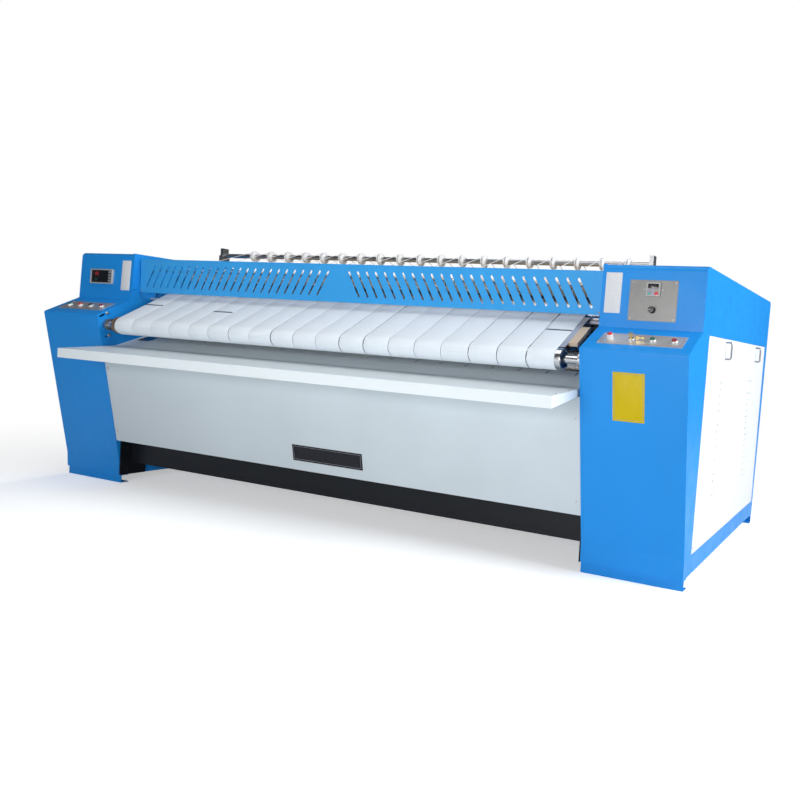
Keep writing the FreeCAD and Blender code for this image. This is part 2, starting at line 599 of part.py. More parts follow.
HALF_ROLLER = f"({HALF_IN} - size.roller_side_gap)"
SHAFT_END = f"{HALF_IN} + size.frame_plate + size.bearing_depth + 4"
roller("feed_roller", "size.feed_roller_radius", f"{HALF_BELTS} + size.feed_roller_overhang",
       "size.feed_shaft_radius", f"{HALF_IN} - size.feed_shaft_wall_gap",
       "size.feed_roller_y", "size.feed_roller_z")
roller("take_up_roller", "size.take_up_radius", f"{HALF_BELTS} + size.feed_roller_overhang",
       "size.shaft_radius", f"{HALF_IN} - size.feed_shaft_wall_gap", "size.take_up_y", "size.take_up_z")
roller("upper_feed_roller", "size.upper_feed_radius", HALF_ROLLER, "size.shaft_radius", SHAFT_END,
       "size.upper_feed_y", "size.upper_feed_z")
for roller_name, _, (text_y, text_z) in RING:
    roller(roller_name, "size.return_roller_radius", HALF_ROLLER, "size.shaft_radius", SHAFT_END,
           text_y, text_z)


def flange_bearing(shaft_radius, square, depth, y, z):
    """A square flanged bearing on the outside of the side frame, with its four bolts."""
    x = half_in + size.frame_plate
    bore = shaft_radius + size.bearing_clearance
    half = square / 2
    plate = Part.makeBox(depth * 0.4, square, square, vec(x, y - half, z - half))
    plate = plate.makeFillet(square * 0.12, [e for e in plate.Edges
                                             if abs(e.tangentAt(e.FirstParameter).x) > 0.9])
    housing = Part.makeCylinder(half * 0.82, depth, vec(x, y, z), X_AXIS)
    body = plate.fuse(housing).cut(Part.makeCylinder(bore, depth, vec(x, y, z), X_AXIS))
    reach = half * 0.74
    for side_y in (-reach, reach):
        for side_z in (-reach, reach):
            head = Part.makeCylinder(size.bearing_bolt_radius * square / 62, depth * 0.2,
                                     vec(x + depth * 0.4, y + side_y, z + side_z), X_AXIS)
            body = body.fuse(head)
    return body


bearings = []
for _, (place_y, place_z), _ in RING + [("", (size.upper_feed_y, size.upper_feed_z), None)]:
    unit = flange_bearing(size.shaft_radius, size.bearing_size, size.bearing_depth, place_y, place_z)
    bearings += [unit, unit.mirror(vec(0, 0, 0), X_AXIS)]
keep("roller_bearings", shape_piece("small_bearings", Part.makeCompound(bearings)))
drum_bearing = flange_bearing(size.journal_radius, size.drum_bearing_size, size.drum_bearing_depth,
                              size.drum_y, size.drum_z)
keep("drum_bearings", shape_piece("large_bearings", Part.makeCompound(
    [drum_bearing, drum_bearing.mirror(vec(0, 0, 0), X_AXIS)])))


def roller_slider():
    """Bearing plate on the inner face of the side frame: it slides forward to tighten the belts."""
    thick = half_in - size.feed_shaft_wall_gap - (half_belts + size.feed_roller_overhang) - 6
    thick = min(thick, size.slider_wall)
    x = half_in - thick
    cheeks = []
    for y, z, shaft in ((size.feed_roller_y, size.feed_roller_z, size.feed_shaft_radius),
                        (size.take_up_y, size.take_up_z, size.shaft_radius)):
        boss = Part.makeCylinder(shaft + size.slider_rim, thick, vec(x, y, z), X_AXIS)
        cheeks.append((boss, Part.makeCylinder(shaft + size.bearing_clearance, thick, vec(x, y, z), X_AXIS)))
    low_y, high_y = size.feed_roller_y, size.take_up_y
    run = math.atan2(size.take_up_z - size.feed_roller_z, high_y - low_y)
    span = math.hypot(size.take_up_z - size.feed_roller_z, high_y - low_y)
    bar = Part.makeBox(thick, span, size.slider_bar, vec(x, 0, -size.slider_bar / 2))
    bar.rotate(vec(x, 0, 0), X_AXIS, math.degrees(run))
    bar.translate(vec(0, low_y, size.feed_roller_z))
    body = bar.fuse([boss for boss, _ in cheeks])
    return body.cut(Part.makeCompound([bore for _, bore in cheeks])).removeSplitter()


def dome_bolt(radius, height, base, direction):
    """A domed bolt head that stands on a face."""
    head = Part.makeCylinder(radius, height * 0.45, base, direction)
    ball = (radius ** 2 + (height * 0.55) ** 2) / (2 * height * 0.55)
    top = base + direction * height
    dome = Part.makeSphere(ball, top - direction * ball)
    keep_box = Part.makeCylinder(radius, height * 0.55, base + direction * (height * 0.45), direction)
    return head.fuse(dome.common(keep_box)).removeSplitter()


def bolt_pairs(x, places):
    """Domed bolts on the inner side of both side frames."""
    heads = []
    for y, z in places:
        head = dome_bolt(size.bolt_radius, size.bolt_height, vec(x, y, z), vec(-1, 0, 0))
        heads += [head, head.mirror(vec(0, 0, 0), X_AXIS)]
    return heads


slider = roller_slider()
slider_bolts = bolt_pairs(half_in, [
    (size.feed_roller_y - size.slider_bolt_front, size.feed_roller_z + size.slider_bolt_up),
    (size.feed_roller_y + size.slider_bolt_back, size.feed_roller_z - size.slider_bolt_down)])
keep("feed_roller_sliders", shape_piece("sliders", Part.makeCompound(
    [slider, slider.mirror(vec(0, 0, 0), X_AXIS)] + slider_bolts)))

# ---------------------------------------------------------------- belts
clear = size.belt_clearance
feed_wheels = [
    (size.feed_roller_y, size.feed_roller_z, size.feed_roller_radius + clear, 1),
    (size.take_up_y, size.take_up_z, size.take_up_radius + clear, 1),
    (size.upper_feed_y, size.upper_feed_z, size.upper_feed_radius + clear, 1),
]
ring_wheels = [place + (size.return_roller_radius + clear, 1) for _, place, _ in reversed(RING)]
ring_wheels.append((size.drum_y, size.drum_z, size.drum_radius + clear, -1))


def belt_set(wheels, gap):
    band = belt(wheels, size.belt_thickness, belt_pitch - gap, gap / 2 - half_belts)
    copies = []
    for k in range(int(size.belt_count)):
        copies.append(band.copy())
        copies[-1].translate(vec(belt_pitch * k, 0, 0))
    return Part.makeCompound(copies)


keep("feed_belts", shape_piece("feed_band_set", belt_set(feed_wheels, size.belt_gap)))
keep("ironing_belts", shape_piece("ironing_band_set", belt_set(ring_wheels, size.press_belt_gap)))


def feed_table():
    """The steel slide plate close under the rising run of the feed belts.

    It ends under the belts on the left and shows beside them on the right, with a rail along it. A
    round bar behind its upper lip carries it between the side frames.
    """
    outline = loop_outline(feed_wheels, 0, size.belt_thickness)
    run = max((e for e in outline.Edges if e.Curve.TypeId == "Part::GeomLine"),
              key=lambda e: e.Vertexes[0].Point.z + e.Vertexes[1].Point.z)
    low, high = sorted((v.Point for v in run.Vertexes), key=lambda p: p.y)
    along = (high - low).normalize()
    below = vec(0, along.z, -along.y)
    first = low + along * size.table_start + below * clear
    last = high + below * clear - along * (size.upper_feed_radius + size.table_end_gap)
    under, thick = below * size.table_sheet, size.table_sheet
    lip = last + below * size.table_flange - along * 2
    corners = [first, last, last + under, lip, lip - along * thick, last + under - along * (2 + thick),
               first + under]
    left_x, right_x = size.table_inset - half_belts, half_belts + size.table_overhang
    plate = Part.Face(Part.makePolygon(corners + corners[:1])).extrude(vec(right_x - left_x, 0, 0))
    plate.translate(vec(left_x, 0, 0))
    rail_low = first + along * size.rail_start
    rail_high = last - along * size.rail_end_gap
    deep = size.rail_depth
    middle = rail_high + below * deep / 2
    side = Part.Wire([
        Part.LineSegment(rail_low, rail_high).toShape(),
        Part.Arc(rail_high, middle + along * deep / 2, rail_high + below * deep).toShape(),
        Part.LineSegment(rail_high + below * deep, rail_low + below * deep).toShape(),
        Part.LineSegment(rail_low + below * deep, rail_low).toShape()])
    rail = Part.Face(side).extrude(vec(size.rail_width, 0, 0))
    rail.translate(vec(right_x, 0, 0))
    bar = Part.makeCylinder(size.table_bar, 2 * half_in,
                            lip - along * thick + vec(-half_in, 0, 0), X_AXIS)
    return plate.fuse([rail, bar]).removeSplitter()


keep("feed_table", shape_piece("slide_plate", feed_table()))

# ---------------------------------------------------------------- guide cords
WHEEL_BRACKET_X = f"({HALF_IN} + size.wheel_bracket_inset)"
WHEEL_SHAFT_END = f"{WHEEL_BRACKET_X} + size.wheel_bracket_sheet / 2"
keep("guide_wheel_shaft", rod("wheel_shaft", "size.wheel_shaft_radius", f"2 * ({WHEEL_SHAFT_END})",
                              f"-({WHEEL_SHAFT_END})", "size.wheel_y", WHEEL_Z))


def guide_wheel():
    """A grooved wheel with a hub collar on each side."""
    half, rim = size.wheel_width / 2, size.wheel_radius
    bore = size.wheel_shaft_radius + size.wheel_clearance
    hub = bore + size.wheel_hub
    floor = size.cord_width / 2 + size.groove_clearance
    section = [vec(-half - size.wheel_collar, 0, bore), vec(-half - size.wheel_collar, 0, hub),
               vec(-half, 0, hub + 2), vec(-half, 0, rim - 1.5), vec(-half + 1.5, 0, rim),
               vec(-floor - 1, 0, rim - 1), vec(-floor, 0, rim - size.wheel_groove)]
    section += [vec(-p.x, 0, p.z) for p in reversed(section)]
    return Part.Face(Part.makePolygon(section + section[:1])).revolve(vec(0, 0, 0), X_AXIS, 360)


wheel = guide_wheel()
wheels = []
for x in cord_x:
    wheels.append(wheel.copy())
    wheels[-1].translate(vec(x, 0, 0))
keep("guide_wheels", shape_piece("wheel_set", Part.makeCompound(wheels), FreeCAD.Placement(
    vec(0, size.wheel_y, wheel_z), FreeCAD.Rotation())))

BRACKET_X = f"{WHEEL_BRACKET_X} - size.wheel_bracket_sheet / 2"
bracket_blank = fuse("bracket_blank", [
    box("bracket_plate", "size.wheel_bracket_sheet", "size.wheel_bracket_width",
        "size.wheel_rise", BRACKET_X, "size.wheel_y - size.wheel_bracket_width / 2", "size.top_z"),
    box("bracket_head", "size.wheel_bracket_sheet", "size.wheel_bracket_width * 0.7",
        "size.wheel_bracket_top", BRACKET_X, "size.wheel_y - size.wheel_bracket_width * 0.35", WHEEL_Z)])
right_bracket = cut("right_bracket", bracket_blank, [
    rod("bracket_bore", "size.wheel_shaft_radius", "size.wheel_bracket_sheet * 3",
        f"{WHEEL_BRACKET_X} - size.wheel_bracket_sheet", "size.wheel_y", WHEEL_Z)])
keep("guide_shaft_brackets", group("wheel_brackets", [right_bracket, mirrored("left_bracket",
                                                                              right_bracket)]))

guide_rods = []
for rod_name in ("front_rod", "exit_rod", "low_front_rod", "low_rear_rod", "rear_rod"):
    guide_rods.append(rod(rod_name, "size.guide_rod_radius", "size.inner_width", f"-({HALF_IN})",
                          f"size.{rod_name}_y", f"size.{rod_name}_z"))
keep("cord_guide_rods", group("rod_set", guide_rods))

nip_place, exit_place = RING[0][1], RING[-1][1]
rod_r = size.guide_rod_radius + clear
cord_wheels = [
    (size.exit_rod_y, size.exit_rod_z, rod_r, 1), (size.low_front_rod_y, size.low_front_rod_z, rod_r, 1),
    (size.low_rear_rod_y, size.low_rear_rod_z, rod_r, 1), (size.rear_rod_y, size.rear_rod_z, rod_r, 1),
    (size.wheel_y, wheel_z, size.wheel_radius - size.wheel_groove + clear, 1),
    (size.front_rod_y, size.front_rod_z, rod_r, 1),
    nip_place + (size.return_roller_radius + clear, 1),
    (size.drum_y, size.drum_z, size.drum_radius + clear, -1),
    exit_place + (size.return_roller_radius + clear, 1),
]
cord = belt(cord_wheels, size.cord_depth, size.cord_width, -size.cord_width / 2)
cords = []
for x in cord_x:
    cords.append(cord.copy())
    cords[-1].translate(vec(x, 0, 0))
keep("guide_cords", shape_piece("cord_set", Part.makeCompound(cords)))


# ---------------------------------------------------------------- guard
def guard():
    """Folded cover over the nip: a slotted face, a flange top and bottom, an ear at each end."""
    half = half_in - size.guard_side_gap
    top, low = point(size.guard_top_y, size.guard_top_z), point(size.guard_low_y, size.guard_low_z)
    sheet_t, flange = size.guard_sheet, size.guard_flange
    section = [low, top, top + vec(0, flange, 0), top + vec(0, flange, -sheet_t),
               top + vec(0, sheet_t, -sheet_t), low + vec(0, sheet_t, sheet_t),
               low + vec(0, flange * 0.7, sheet_t), low + vec(0, flange * 0.7, 0)]
    face = Part.Face(Part.makePolygon(section + section[:1])).extrude(vec(2 * half, 0, 0))
    face.translate(vec(-half, 0, 0))
    pin_y = size.guard_top_y + size.guard_pin_setback
    ears = []
    for side in (-1, 1):
        x = half - sheet_t if side > 0 else -half
        ear = Part.makeCylinder(size.guard_ear / 2 + 3, sheet_t, vec(x, pin_y, size.guard_pin_z), X_AXIS)
        web = Part.makeBox(sheet_t, size.guard_flange - sheet_t, size.guard_top_z - size.guard_low_z - 60,
                           vec(x, size.guard_top_y + sheet_t, size.guard_low_z + 60 - sheet_t / 2))
        ears.append(web.fuse(ear.common(web)))
    face = face.fuse(ears)
    slots = []
    rise = size.guard_slot_top_z - size.guard_slot_low_z
    length = math.hypot(rise, size.guard_slot_lean)
    across = size.guard_slot_width / 2
    room = half - size.guard_slot_margin - size.guard_slot_lean - size.guard_slot_first
    for side in (-1, 1):
        for k in range(int(room / size.guard_slot_pitch) + 1):
            top_x = side * (size.guard_slot_first + k * size.guard_slot_pitch)
            low_x = top_x - (-side) * size.guard_slot_lean
            start, stop = vec(low_x, 0, size.guard_slot_low_z), vec(top_x, 0, size.guard_slot_top_z)
            along = (stop - start).normalize()
            normal = vec(along.z, 0, -along.x)
            a, b = start + along * across, stop - along * across
            wire = Part.Wire([
                Part.LineSegment(a + normal * across, b + normal * across).toShape(),
                Part.Arc(b + normal * across, b + along * across, b - normal * across).toShape(),
                Part.LineSegment(b - normal * across, a - normal * across).toShape(),
                Part.Arc(a - normal * across, a - along * across, a + normal * across).toShape()])
            tool = Part.Face(wire).extrude(vec(0, size.guard_flange, 0))
            tool.translate(vec(0, size.guard_top_y - size.guard_sheet, 0))
            slots.append(tool)
    bores = [Part.makeCylinder(size.guard_pin_radius + size.pin_clearance, 2 * half + 20,
                               vec(-half - 10, pin_y, size.guard_pin_z), X_AXIS)]
    return face.cut(Part.makeCompound(slots)).cut(bores[0])


keep("guard", shape_piece("slotted_guard", guard()))
GUARD_PIN_Y = "size.guard_top_y + size.guard_pin_setback"
PIN_LENGTH = "size.guard_side_gap + size.guard_sheet + 6"
guard_pin = rod("guard_pin", "size.guard_pin_radius", PIN_LENGTH, f"{HALF_IN} - ({PIN_LENGTH})",
                GUARD_PIN_Y, "size.guard_pin_z")
keep("guard_pins", group("pin_pair", [guard_pin, mirrored("left_guard_pin", guard_pin)]))

# ---------------------------------------------------------------- tray, chute, skirts
TRAY_HALF = f"({HALF_IN} - size.tray_side_gap)"
TRAY_RUN = "(size.chute_front_y - size.tray_front_y)"
tray_blank = side_profile("tray_blank", [
    ("size.tray_front_y", "size.tray_front_z - size.tray_lip"), ("size.tray_front_y", "size.tray_front_z"),
    ("size.chute_front_y", "size.chute_front_z"),
    ("size.chute_front_y", "size.chute_front_z - size.tray_lip * 0.5"),
], f"2 * {TRAY_HALF}", f"-{TRAY_HALF}")
tray_hollow = side_profile("tray_hollow", [
    ("size.tray_front_y + size.tray_sheet", "size.tray_front_z - size.tray_lip - 40"),
    ("size.tray_front_y + size.tray_sheet", "size.tray_front_z - size.tray_sheet"),
    ("size.chute_front_y - size.tray_sheet",
     f"size.chute_front_z - size.tray_sheet * (1 + (size.chute_front_z - size.tray_front_z) / {TRAY_RUN})"),
    ("size.chute_front_y - size.tray_sheet", "size.chute_front_z - size.tray_lip - 40"),
], f"2 * ({TRAY_HALF} - size.tray_sheet)", f"-({TRAY_HALF} - size.tray_sheet)")
keep("tray", cut("tray_sheet", tray_blank, [tray_hollow]))


def chute():
    """The sloping sheet that the finished linen slides down; slots let the stripped cords pass."""
    low = point(size.chute_front_y + size.seam_gap, size.chute_front_z)
    high = point(size.chute_back_y, size.chute_back_z)
    along = (high - low).normalize()
    below = vec(0, along.z, -along.y) * size.tray_sheet
    drop = vec(0, 0, -size.chute_flange)
    side_gap = size.seam_gap
    section = [low, high, high + below, low + below + along * 3, low + below + along * 3 + drop,
               low + drop]
    plate = Part.Face(Part.makePolygon(section + section[:1])).extrude(
        vec(size.inner_width - 2 * side_gap, 0, 0))
    plate.translate(vec(-half_in + side_gap, 0, 0))
    slope = math.degrees(math.atan2(high.z - low.z, high.y - low.y))
    slots = []
    for x in cord_x:
        slot = Part.makeBox(size.chute_slot_width, size.chute_slot_length, size.tray_sheet * 4,
                            vec(x - size.chute_slot_width / 2, size.chute_slot_start, -size.tray_sheet * 2))
        slot.rotate(vec(x, 0, 0), X_AXIS, slope)
        slot.translate(low)
        slots.append(slot)
    # the left rear corner is cut away beside the belts
    notch = Part.makeBox(size.chute_notch_width, size.chute_slot_length * 3, 60,
                         vec(size.chute_notch_inset - half_in, 0, -30))
    notch.rotate(vec(0, 0, 0), X_AXIS, slope)
    notch.translate(low + along * size.chute_notch_start)
    return plate.cut(Part.makeCompound(slots)).cut(notch)


keep("chute", shape_piece("linen_chute", chute()))

# front skirt: it follows the cabinets' sloping fronts, a little behind them
front_slope = ((size.console_front_y - size.band_top_y) / (size.console_front_z - size.band_top_z))


def front_y(z):
    return size.band_top_y + (z - size.band_top_z) * front_slope


FRONT_SLOPE = ("(size.console_front_y - size.band_top_y) / (size.console_front_z - size.band_top_z)")


def front_text(z):
    return f"(size.band_top_y + ({z} - size.band_top_z) * {FRONT_SLOPE} + size.skirt_setback)"


SKIRT_TOP = "(size.tray_front_z - size.skirt_under_tray)"
SKIRT_HALF = f"({HALF_IN} - size.seam_gap)"
keep("front_skirt", side_profile("skirt", [
    (front_text("size.skirt_low_z"), "size.skirt_low_z"),
    (front_text(SKIRT_TOP), SKIRT_TOP),
    (f"{front_text(SKIRT_TOP)} + size.skirt_flange", SKIRT_TOP),
    (f"{front_text(SKIRT_TOP)} + size.skirt_flange", f"{SKIRT_TOP} - size.skirt_sheet"),
    (f"{front_text(SKIRT_TOP)} + size.skirt_sheet", f"{SKIRT_TOP} - size.skirt_sheet"),
    (f"{front_text('size.skirt_low_z')} + size.skirt_sheet", "size.skirt_low_z + size.skirt_sheet"),
    (f"{front_text('size.skirt_low_z')} + size.skirt_flange", "size.skirt_low_z + size.skirt_sheet"),
    (f"{front_text('size.skirt_low_z')} + size.skirt_flange", "size.skirt_low_z"),
], f"2 * {SKIRT_HALF}", f"-{SKIRT_HALF}"))

REAR_SLOPE = "(size.rear_top_y - size.rear_low_y) / (size.top_z - size.band_low_z)"


def rear_text(z):
    return f"(size.rear_low_y + ({z} - size.band_low_z) * {REAR_SLOPE} - size.skirt_setback)"


keep("rear_cover", side_profile("rear_sheet", [
    (rear_text("size.skirt_low_z"), "size.skirt_low_z"),
    (rear_text("size.rear_cover_top_z"), "size.rear_cover_top_z"),
    (f"{rear_text('size.rear_cover_top_z')} - size.skirt_flange", "size.rear_cover_top_z"),
    (f"{rear_text('size.rear_cover_top_z')} - size.skirt_flange", "size.rear_cover_top_z - size.skirt_sheet"),
    (f"{rear_text('size.rear_cover_top_z')} - size.skirt_sheet", "size.rear_cover_top_z - size.skirt_sheet"),
    (f"{rear_text('size.skirt_low_z')} - size.skirt_sheet", "size.skirt_low_z + size.skirt_sheet"),
    (f"{rear_text('size.skirt_low_z')} - size.skirt_flange", "size.skirt_low_z + size.skirt_sheet"),
    (f"{rear_text('size.skirt_low_z')} - size.skirt_flange", "size.skirt_low_z"),
], f"2 * {SKIRT_HALF}", f"-{SKIRT_HALF}"))

# blank nameplate on the skirt
front_tilt = math.degrees(math.atan(front_slope))
front_turn = FreeCAD.Rotation(X_AXIS, -front_tilt)


def on_front(x, z, proud=0.0, setback=0.0):
    """A point on the sloping front plane, moved forward along its normal."""
    out = front_turn.multVec(vec(0, -1, 0))
    return vec(x, front_y(z) + setback, z) + out * proud


nameplate = doc.addObject("Part::Box", "nameplate_blank")
bind(nameplate, {"Length": "size.nameplate_width", "Width": "size.nameplate_sheet",
                 "Height": "size.nameplate_height"})
nameplate.Placement = FreeCAD.Placement(
    on_front(size.nameplate_x - size.nameplate_width / 2, size.skirt_low_z + size.nameplate_low,
             size.nameplate_sheet, size.skirt_setback), front_turn)
keep("nameplate", nameplate)


def cover_screws():
    """Small pan-head screws of the skirt and the tray."""
    out = front_turn.multVec(vec(0, -1, 0))
    tray_up = point(size.tray_front_z - size.chute_front_z,
                    size.chute_front_y - size.tray_front_y).normalize()
    screws = []
    for side in (-1, 1):
        for z in (size.skirt_low_z + size.skirt_screw_up, size.tray_front_z - size.skirt_screw_drop):
            screws.append(Part.makeCylinder(size.screw_radius, size.screw_height,
                                            on_front(side * (half_in - size.skirt_screw_inset), z, 0,
                                                     size.skirt_setback), out))
        screw_x = half_in - size.tray_side_gap - size.tray_screw_inset
        for share in (0.2, 0.62):
            y = size.tray_front_y + share * (size.chute_front_y - size.tray_front_y)
            z = size.tray_front_z + share * (size.chute_front_z - size.tray_front_z)
            screws.append(Part.makeCone(size.screw_radius, size.screw_radius * 0.7, size.screw_height * 1.5,
                                        vec(side * screw_x, y, z), tray_up))
    return Part.makeCompound(screws)


keep("cover_screws", shape_piece("screw_set", cover_screws()))

# ---------------------------------------------------------------- cross beams
def cross_beam(name, y):
    """A rectangular tube between the side frames, open through the plate at each end."""
    inner = f"{HALF_IN} - size.beam_plate"
    tube = box(name + "_tube", f"2 * ({inner})", "size.beam_depth", "size.beam_height",
               f"-({inner})", y, "size.beam_low_z")
    plate = box(name + "_plate", "size.beam_plate", "size.beam_plate_depth", "size.beam_plate_height",
                f"{HALF_IN} - size.beam_plate", f"{y} - size.beam_plate_front", "size.band_low_z")
    bore = box(name + "_bore", "size.inner_width + 20", "size.beam_depth - 2 * size.beam_wall",
               "size.beam_height - 2 * size.beam_wall", f"-({HALF_IN}) - 10", f"{y} + size.beam_wall",
               "size.beam_low_z + size.beam_wall")
    return cut(name, fuse(name + "_solid", [tube, plate, mirrored(name + "_left_plate", plate)]), [bore])


beam_bolt_places = [(y - size.beam_bolt_front, size.beam_low_z + up)
                    for y in (size.beam_front_y, size.rear_beam_y)
                    for up in (-size.beam_bolt_down, size.beam_bolt_up)]
beam_bolts = shape_piece("beam_bolts", Part.makeCompound(
    bolt_pairs(half_in - size.beam_plate, beam_bolt_places)))
keep("cross_beams", group("beam_pair", [cross_beam("front_beam", "size.beam_front_y"),
                                        cross_beam("rear_beam", "size.rear_beam_y"), beam_bolts]))

# ---------------------------------------------------------------- controls
console_tilt = math.degrees(math.atan2(size.console_back_z - size.console_front_z,
                                       size.console_back_y - size.console_front_y))
console_turn = FreeCAD.Rotation(X_AXIS, console_tilt)
console_edge = point(size.console_front_y, size.console_front_z)
console_span = math.hypot(size.console_back_z - size.console_front_z,
                          size.console_back_y - size.console_front_y)
panel_tilt = math.degrees(math.atan2(size.top_z - size.console_back_z,
                                     size.top_front_y - size.console_back_y))
panel_turn = FreeCAD.Rotation(X_AXIS, panel_tilt)
panel_edge = point(size.console_back_y, size.console_back_z)


def console_place(x, up, proud=0.0):
    """On the sloping console: x across, up the slope from its front edge, proud of its face."""
    return FreeCAD.Placement(console_edge + vec(x, 0, 0) + console_turn.multVec(vec(0, up, proud)),
                             console_turn)


def panel_place(x, up, proud=0.0):
    """On the upright panel above the console: x across, up from its lower edge, proud of its face."""
    return FreeCAD.Placement(panel_edge + vec(x, 0, 0) + panel_turn.multVec(vec(0, up, proud)),
                             panel_turn)


def flat_plate(name, width, height, thickness, place):
    """A rectangular plate lying on a sloping face; its size is bound, its place is on the slope."""
    obj = doc.addObject("Part::Box", name)
    bind(obj, {"Length": width, "Width": height, "Height": thickness})
    obj.Placement = place
    return obj


plate_up = size.console_plate_up + 2
console_plates = []
for side in (-1, 1):
    x = side * console_x - size.console_plate_width / 2
    console_plates.append(flat_plate("console_plate" + ("_left" if side < 0 else "_right"),
                                     "size.console_plate_width", "size.console_plate_depth",
                                     "size.console_plate_sheet", console_place(x, plate_up)))
keep("console_plates", group("console_plate_pair", console_plates))

control_up = plate_up + size.console_plate_depth * 0.48
control_slots = [(k - 1.5) * size.control_pitch for k in range(4)]
LEFT_CONTROLS = ["left_green_button", "left_red_button", "left_black_button", "left_stop_button"]
RIGHT_CONTROLS = ["right_collar_button", "key_switch", "right_green_button", "right_red_button"]


BUTTON_RADIUS = "(size.bezel_radius - size.bezel_wall - size.button_clearance)"


def ring(inner, outer, height):
    return Part.makeCylinder(outer, height).cut(Part.makeCylinder(inner, height))


bezels = []
for side, names in ((-1, LEFT_CONTROLS), (1, RIGHT_CONTROLS)):
    for slot_x, control in zip(control_slots, names):
        x = side * console_x + slot_x
        base = console_place(x, control_up, size.console_plate_sheet)
        tall = control == "right_collar_button"
        height = size.collar_height if tall else size.bezel_height
        outer = size.collar_radius if tall else size.bezel_radius
        bezel = ring(size.bezel_radius - size.bezel_wall, outer, height)
        bezel = bezel.makeChamfer(1.2, [e for e in bezel.Edges if abs(e.BoundBox.ZMin - height) < 1e-6
                                        and e.BoundBox.XLength > 2 * outer - 0.5])
        bezel.Placement = base
        bezels.append(bezel)
        if control == "key_switch":
            continue
        rest = height - size.bezel_height + size.button_rest
        stem = doc.addObject("Part::Cylinder", control + "_stem")
        bind(stem, {"Radius": BUTTON_RADIUS, "Height": "size.button_height - size.button_round"})
        stem.Placement = console_place(x, control_up, size.console_plate_sheet + rest)
        cap = doc.addObject("Part::Cone", control + "_cap")
        bind(cap, {"Radius1": BUTTON_RADIUS, "Radius2": f"{BUTTON_RADIUS} - size.button_round",
                   "Height": "size.button_round"})
        cap.Placement = console_place(x, control_up, size.console_plate_sheet + rest + size.button_height
                                      - size.button_round)
        keep(control, fuse(control + "_button", [stem, cap]))
keep("button_bezels", shape_piece("bezel_set", Part.makeCompound(bezels)))


def key_switch():
    """A key in its lock: the turning barrel, the key, and a ring that holds the spare key."""
    barrel = Part.makeCylinder(size.bezel_radius - size.bezel_wall - size.button_clearance,
                               size.bezel_height - size.button_clearance, vec(0, 0, size.button_clearance))
    half, sheet_t, base_z = size.key_width / 2, size.key_sheet, size.bezel_height
    eye = 1.6
    blade = Part.makeBox(8, sheet_t, 8, vec(-4, -sheet_t / 2, base_z))
    bow = Part.makeCylinder(half, sheet_t, vec(0, -sheet_t / 2, base_z + 5 + half), Y_AXIS)
    eye_z = base_z + 5 + 2 * half - 3
    bow = bow.cut(Part.makeCylinder(eye, sheet_t * 3, vec(0, -sheet_t * 1.5, eye_z), Y_AXIS))
    lean = math.asin((eye_z - half - 1) / (2 * size.key_ring_radius))
    aside = vec(math.cos(lean), 0, -math.sin(lean))
    loop = Part.makeTorus(size.key_ring_radius, 0.8, vec(0, 0, eye_z) + aside * size.key_ring_radius,
                          vec(math.sin(lean), 0, math.cos(lean)))
    low = vec(0, 0, eye_z) + aside * (2 * size.key_ring_radius)
    spare = Part.makeCylinder(half, sheet_t, low + vec(half - 3, -sheet_t / 2, 0), Y_AXIS)
    spare = spare.cut(Part.makeCylinder(eye, sheet_t * 3, low + vec(0, -sheet_t * 1.5, 0), Y_AXIS))
    shank = Part.makeBox(size.key_length, sheet_t, 7, low + vec(2 * half - 5, -sheet_t / 2, -3.5))
    return Part.makeCompound([barrel.fuse([blade, bow]).removeSplitter(), loop,
                              spare.fuse(shank).removeSplitter()])


key_x = console_x + control_slots[1]
keep("key_switch", shape_piece("key_set", key_switch(), console_place(key_x, control_up,
                                                                      size.console_plate_sheet)))

# stainless plate with keypad and speed knob, on the right upright panel
control_corner_x = control_x - size.control_plate_width / 2
steel_plate = flat_plate("steel_plate", "size.control_plate_width", "size.control_plate_height",
                         "size.control_plate_sheet", panel_place(control_corner_x, size.control_plate_low))
keypad_x = control_x - size.keypad_width / 2
keep("keypad", flat_plate("keypad_case", "size.keypad_width", "size.keypad_height", "size.keypad_depth",
                          panel_place(keypad_x, size.keypad_low, size.control_plate_sheet)))
knob_z = size.control_plate_sheet
stem = doc.addObject("Part::Cylinder", "knob_bush")
bind(stem, {"Radius": "size.knob_stem_radius * 2", "Height": "size.knob_stem_height"})
stem.Placement = panel_place(control_x, size.knob_up, knob_z)
keep("control_plate", fuse("plate_with_bush", [steel_plate, stem]))
knob_head = doc.addObject("Part::Cone", "knob_head")
bind(knob_head, {"Radius1": "size.knob_radius", "Radius2": "size.knob_radius * 0.86",
                 "Height": "size.knob_height"})
knob_head.Placement = panel_place(control_x, size.knob_up,
                                  knob_z + size.knob_stem_height + size.pin_clearance)
keep("speed_knob", knob_head)

# temperature controller on the left upright panel: frame round a recessed window
thermo_x = thermostat_x - size.thermostat_width / 2
thermo_case = flat_plate("thermostat_case", "size.thermostat_width", "size.thermostat_height",
                         "size.thermostat_depth", panel_place(thermo_x, size.thermostat_low))
thermo_window = flat_plate("thermostat_window", "size.thermostat_window",
                           "size.thermostat_height - 2 * size.thermostat_frame", "size.thermostat_depth",
                           panel_place(thermostat_x - size.thermostat_window / 2,
                                       size.thermostat_low + size.thermostat_frame,
                                       size.thermostat_depth - 3))
keep("temperature_controller", cut("thermostat", thermo_case, [thermo_window]))

# ---------------------------------------------------------------- drive, in the left cabinet
drum_pitch_radius = size.chain_pitch / (2 * math.sin(math.pi / size.drum_teeth))
motor_pitch_radius = size.chain_pitch / (2 * math.sin(math.pi / size.motor_teeth))
sprocket_left = -sprocket_x - size.sprocket_width / 2


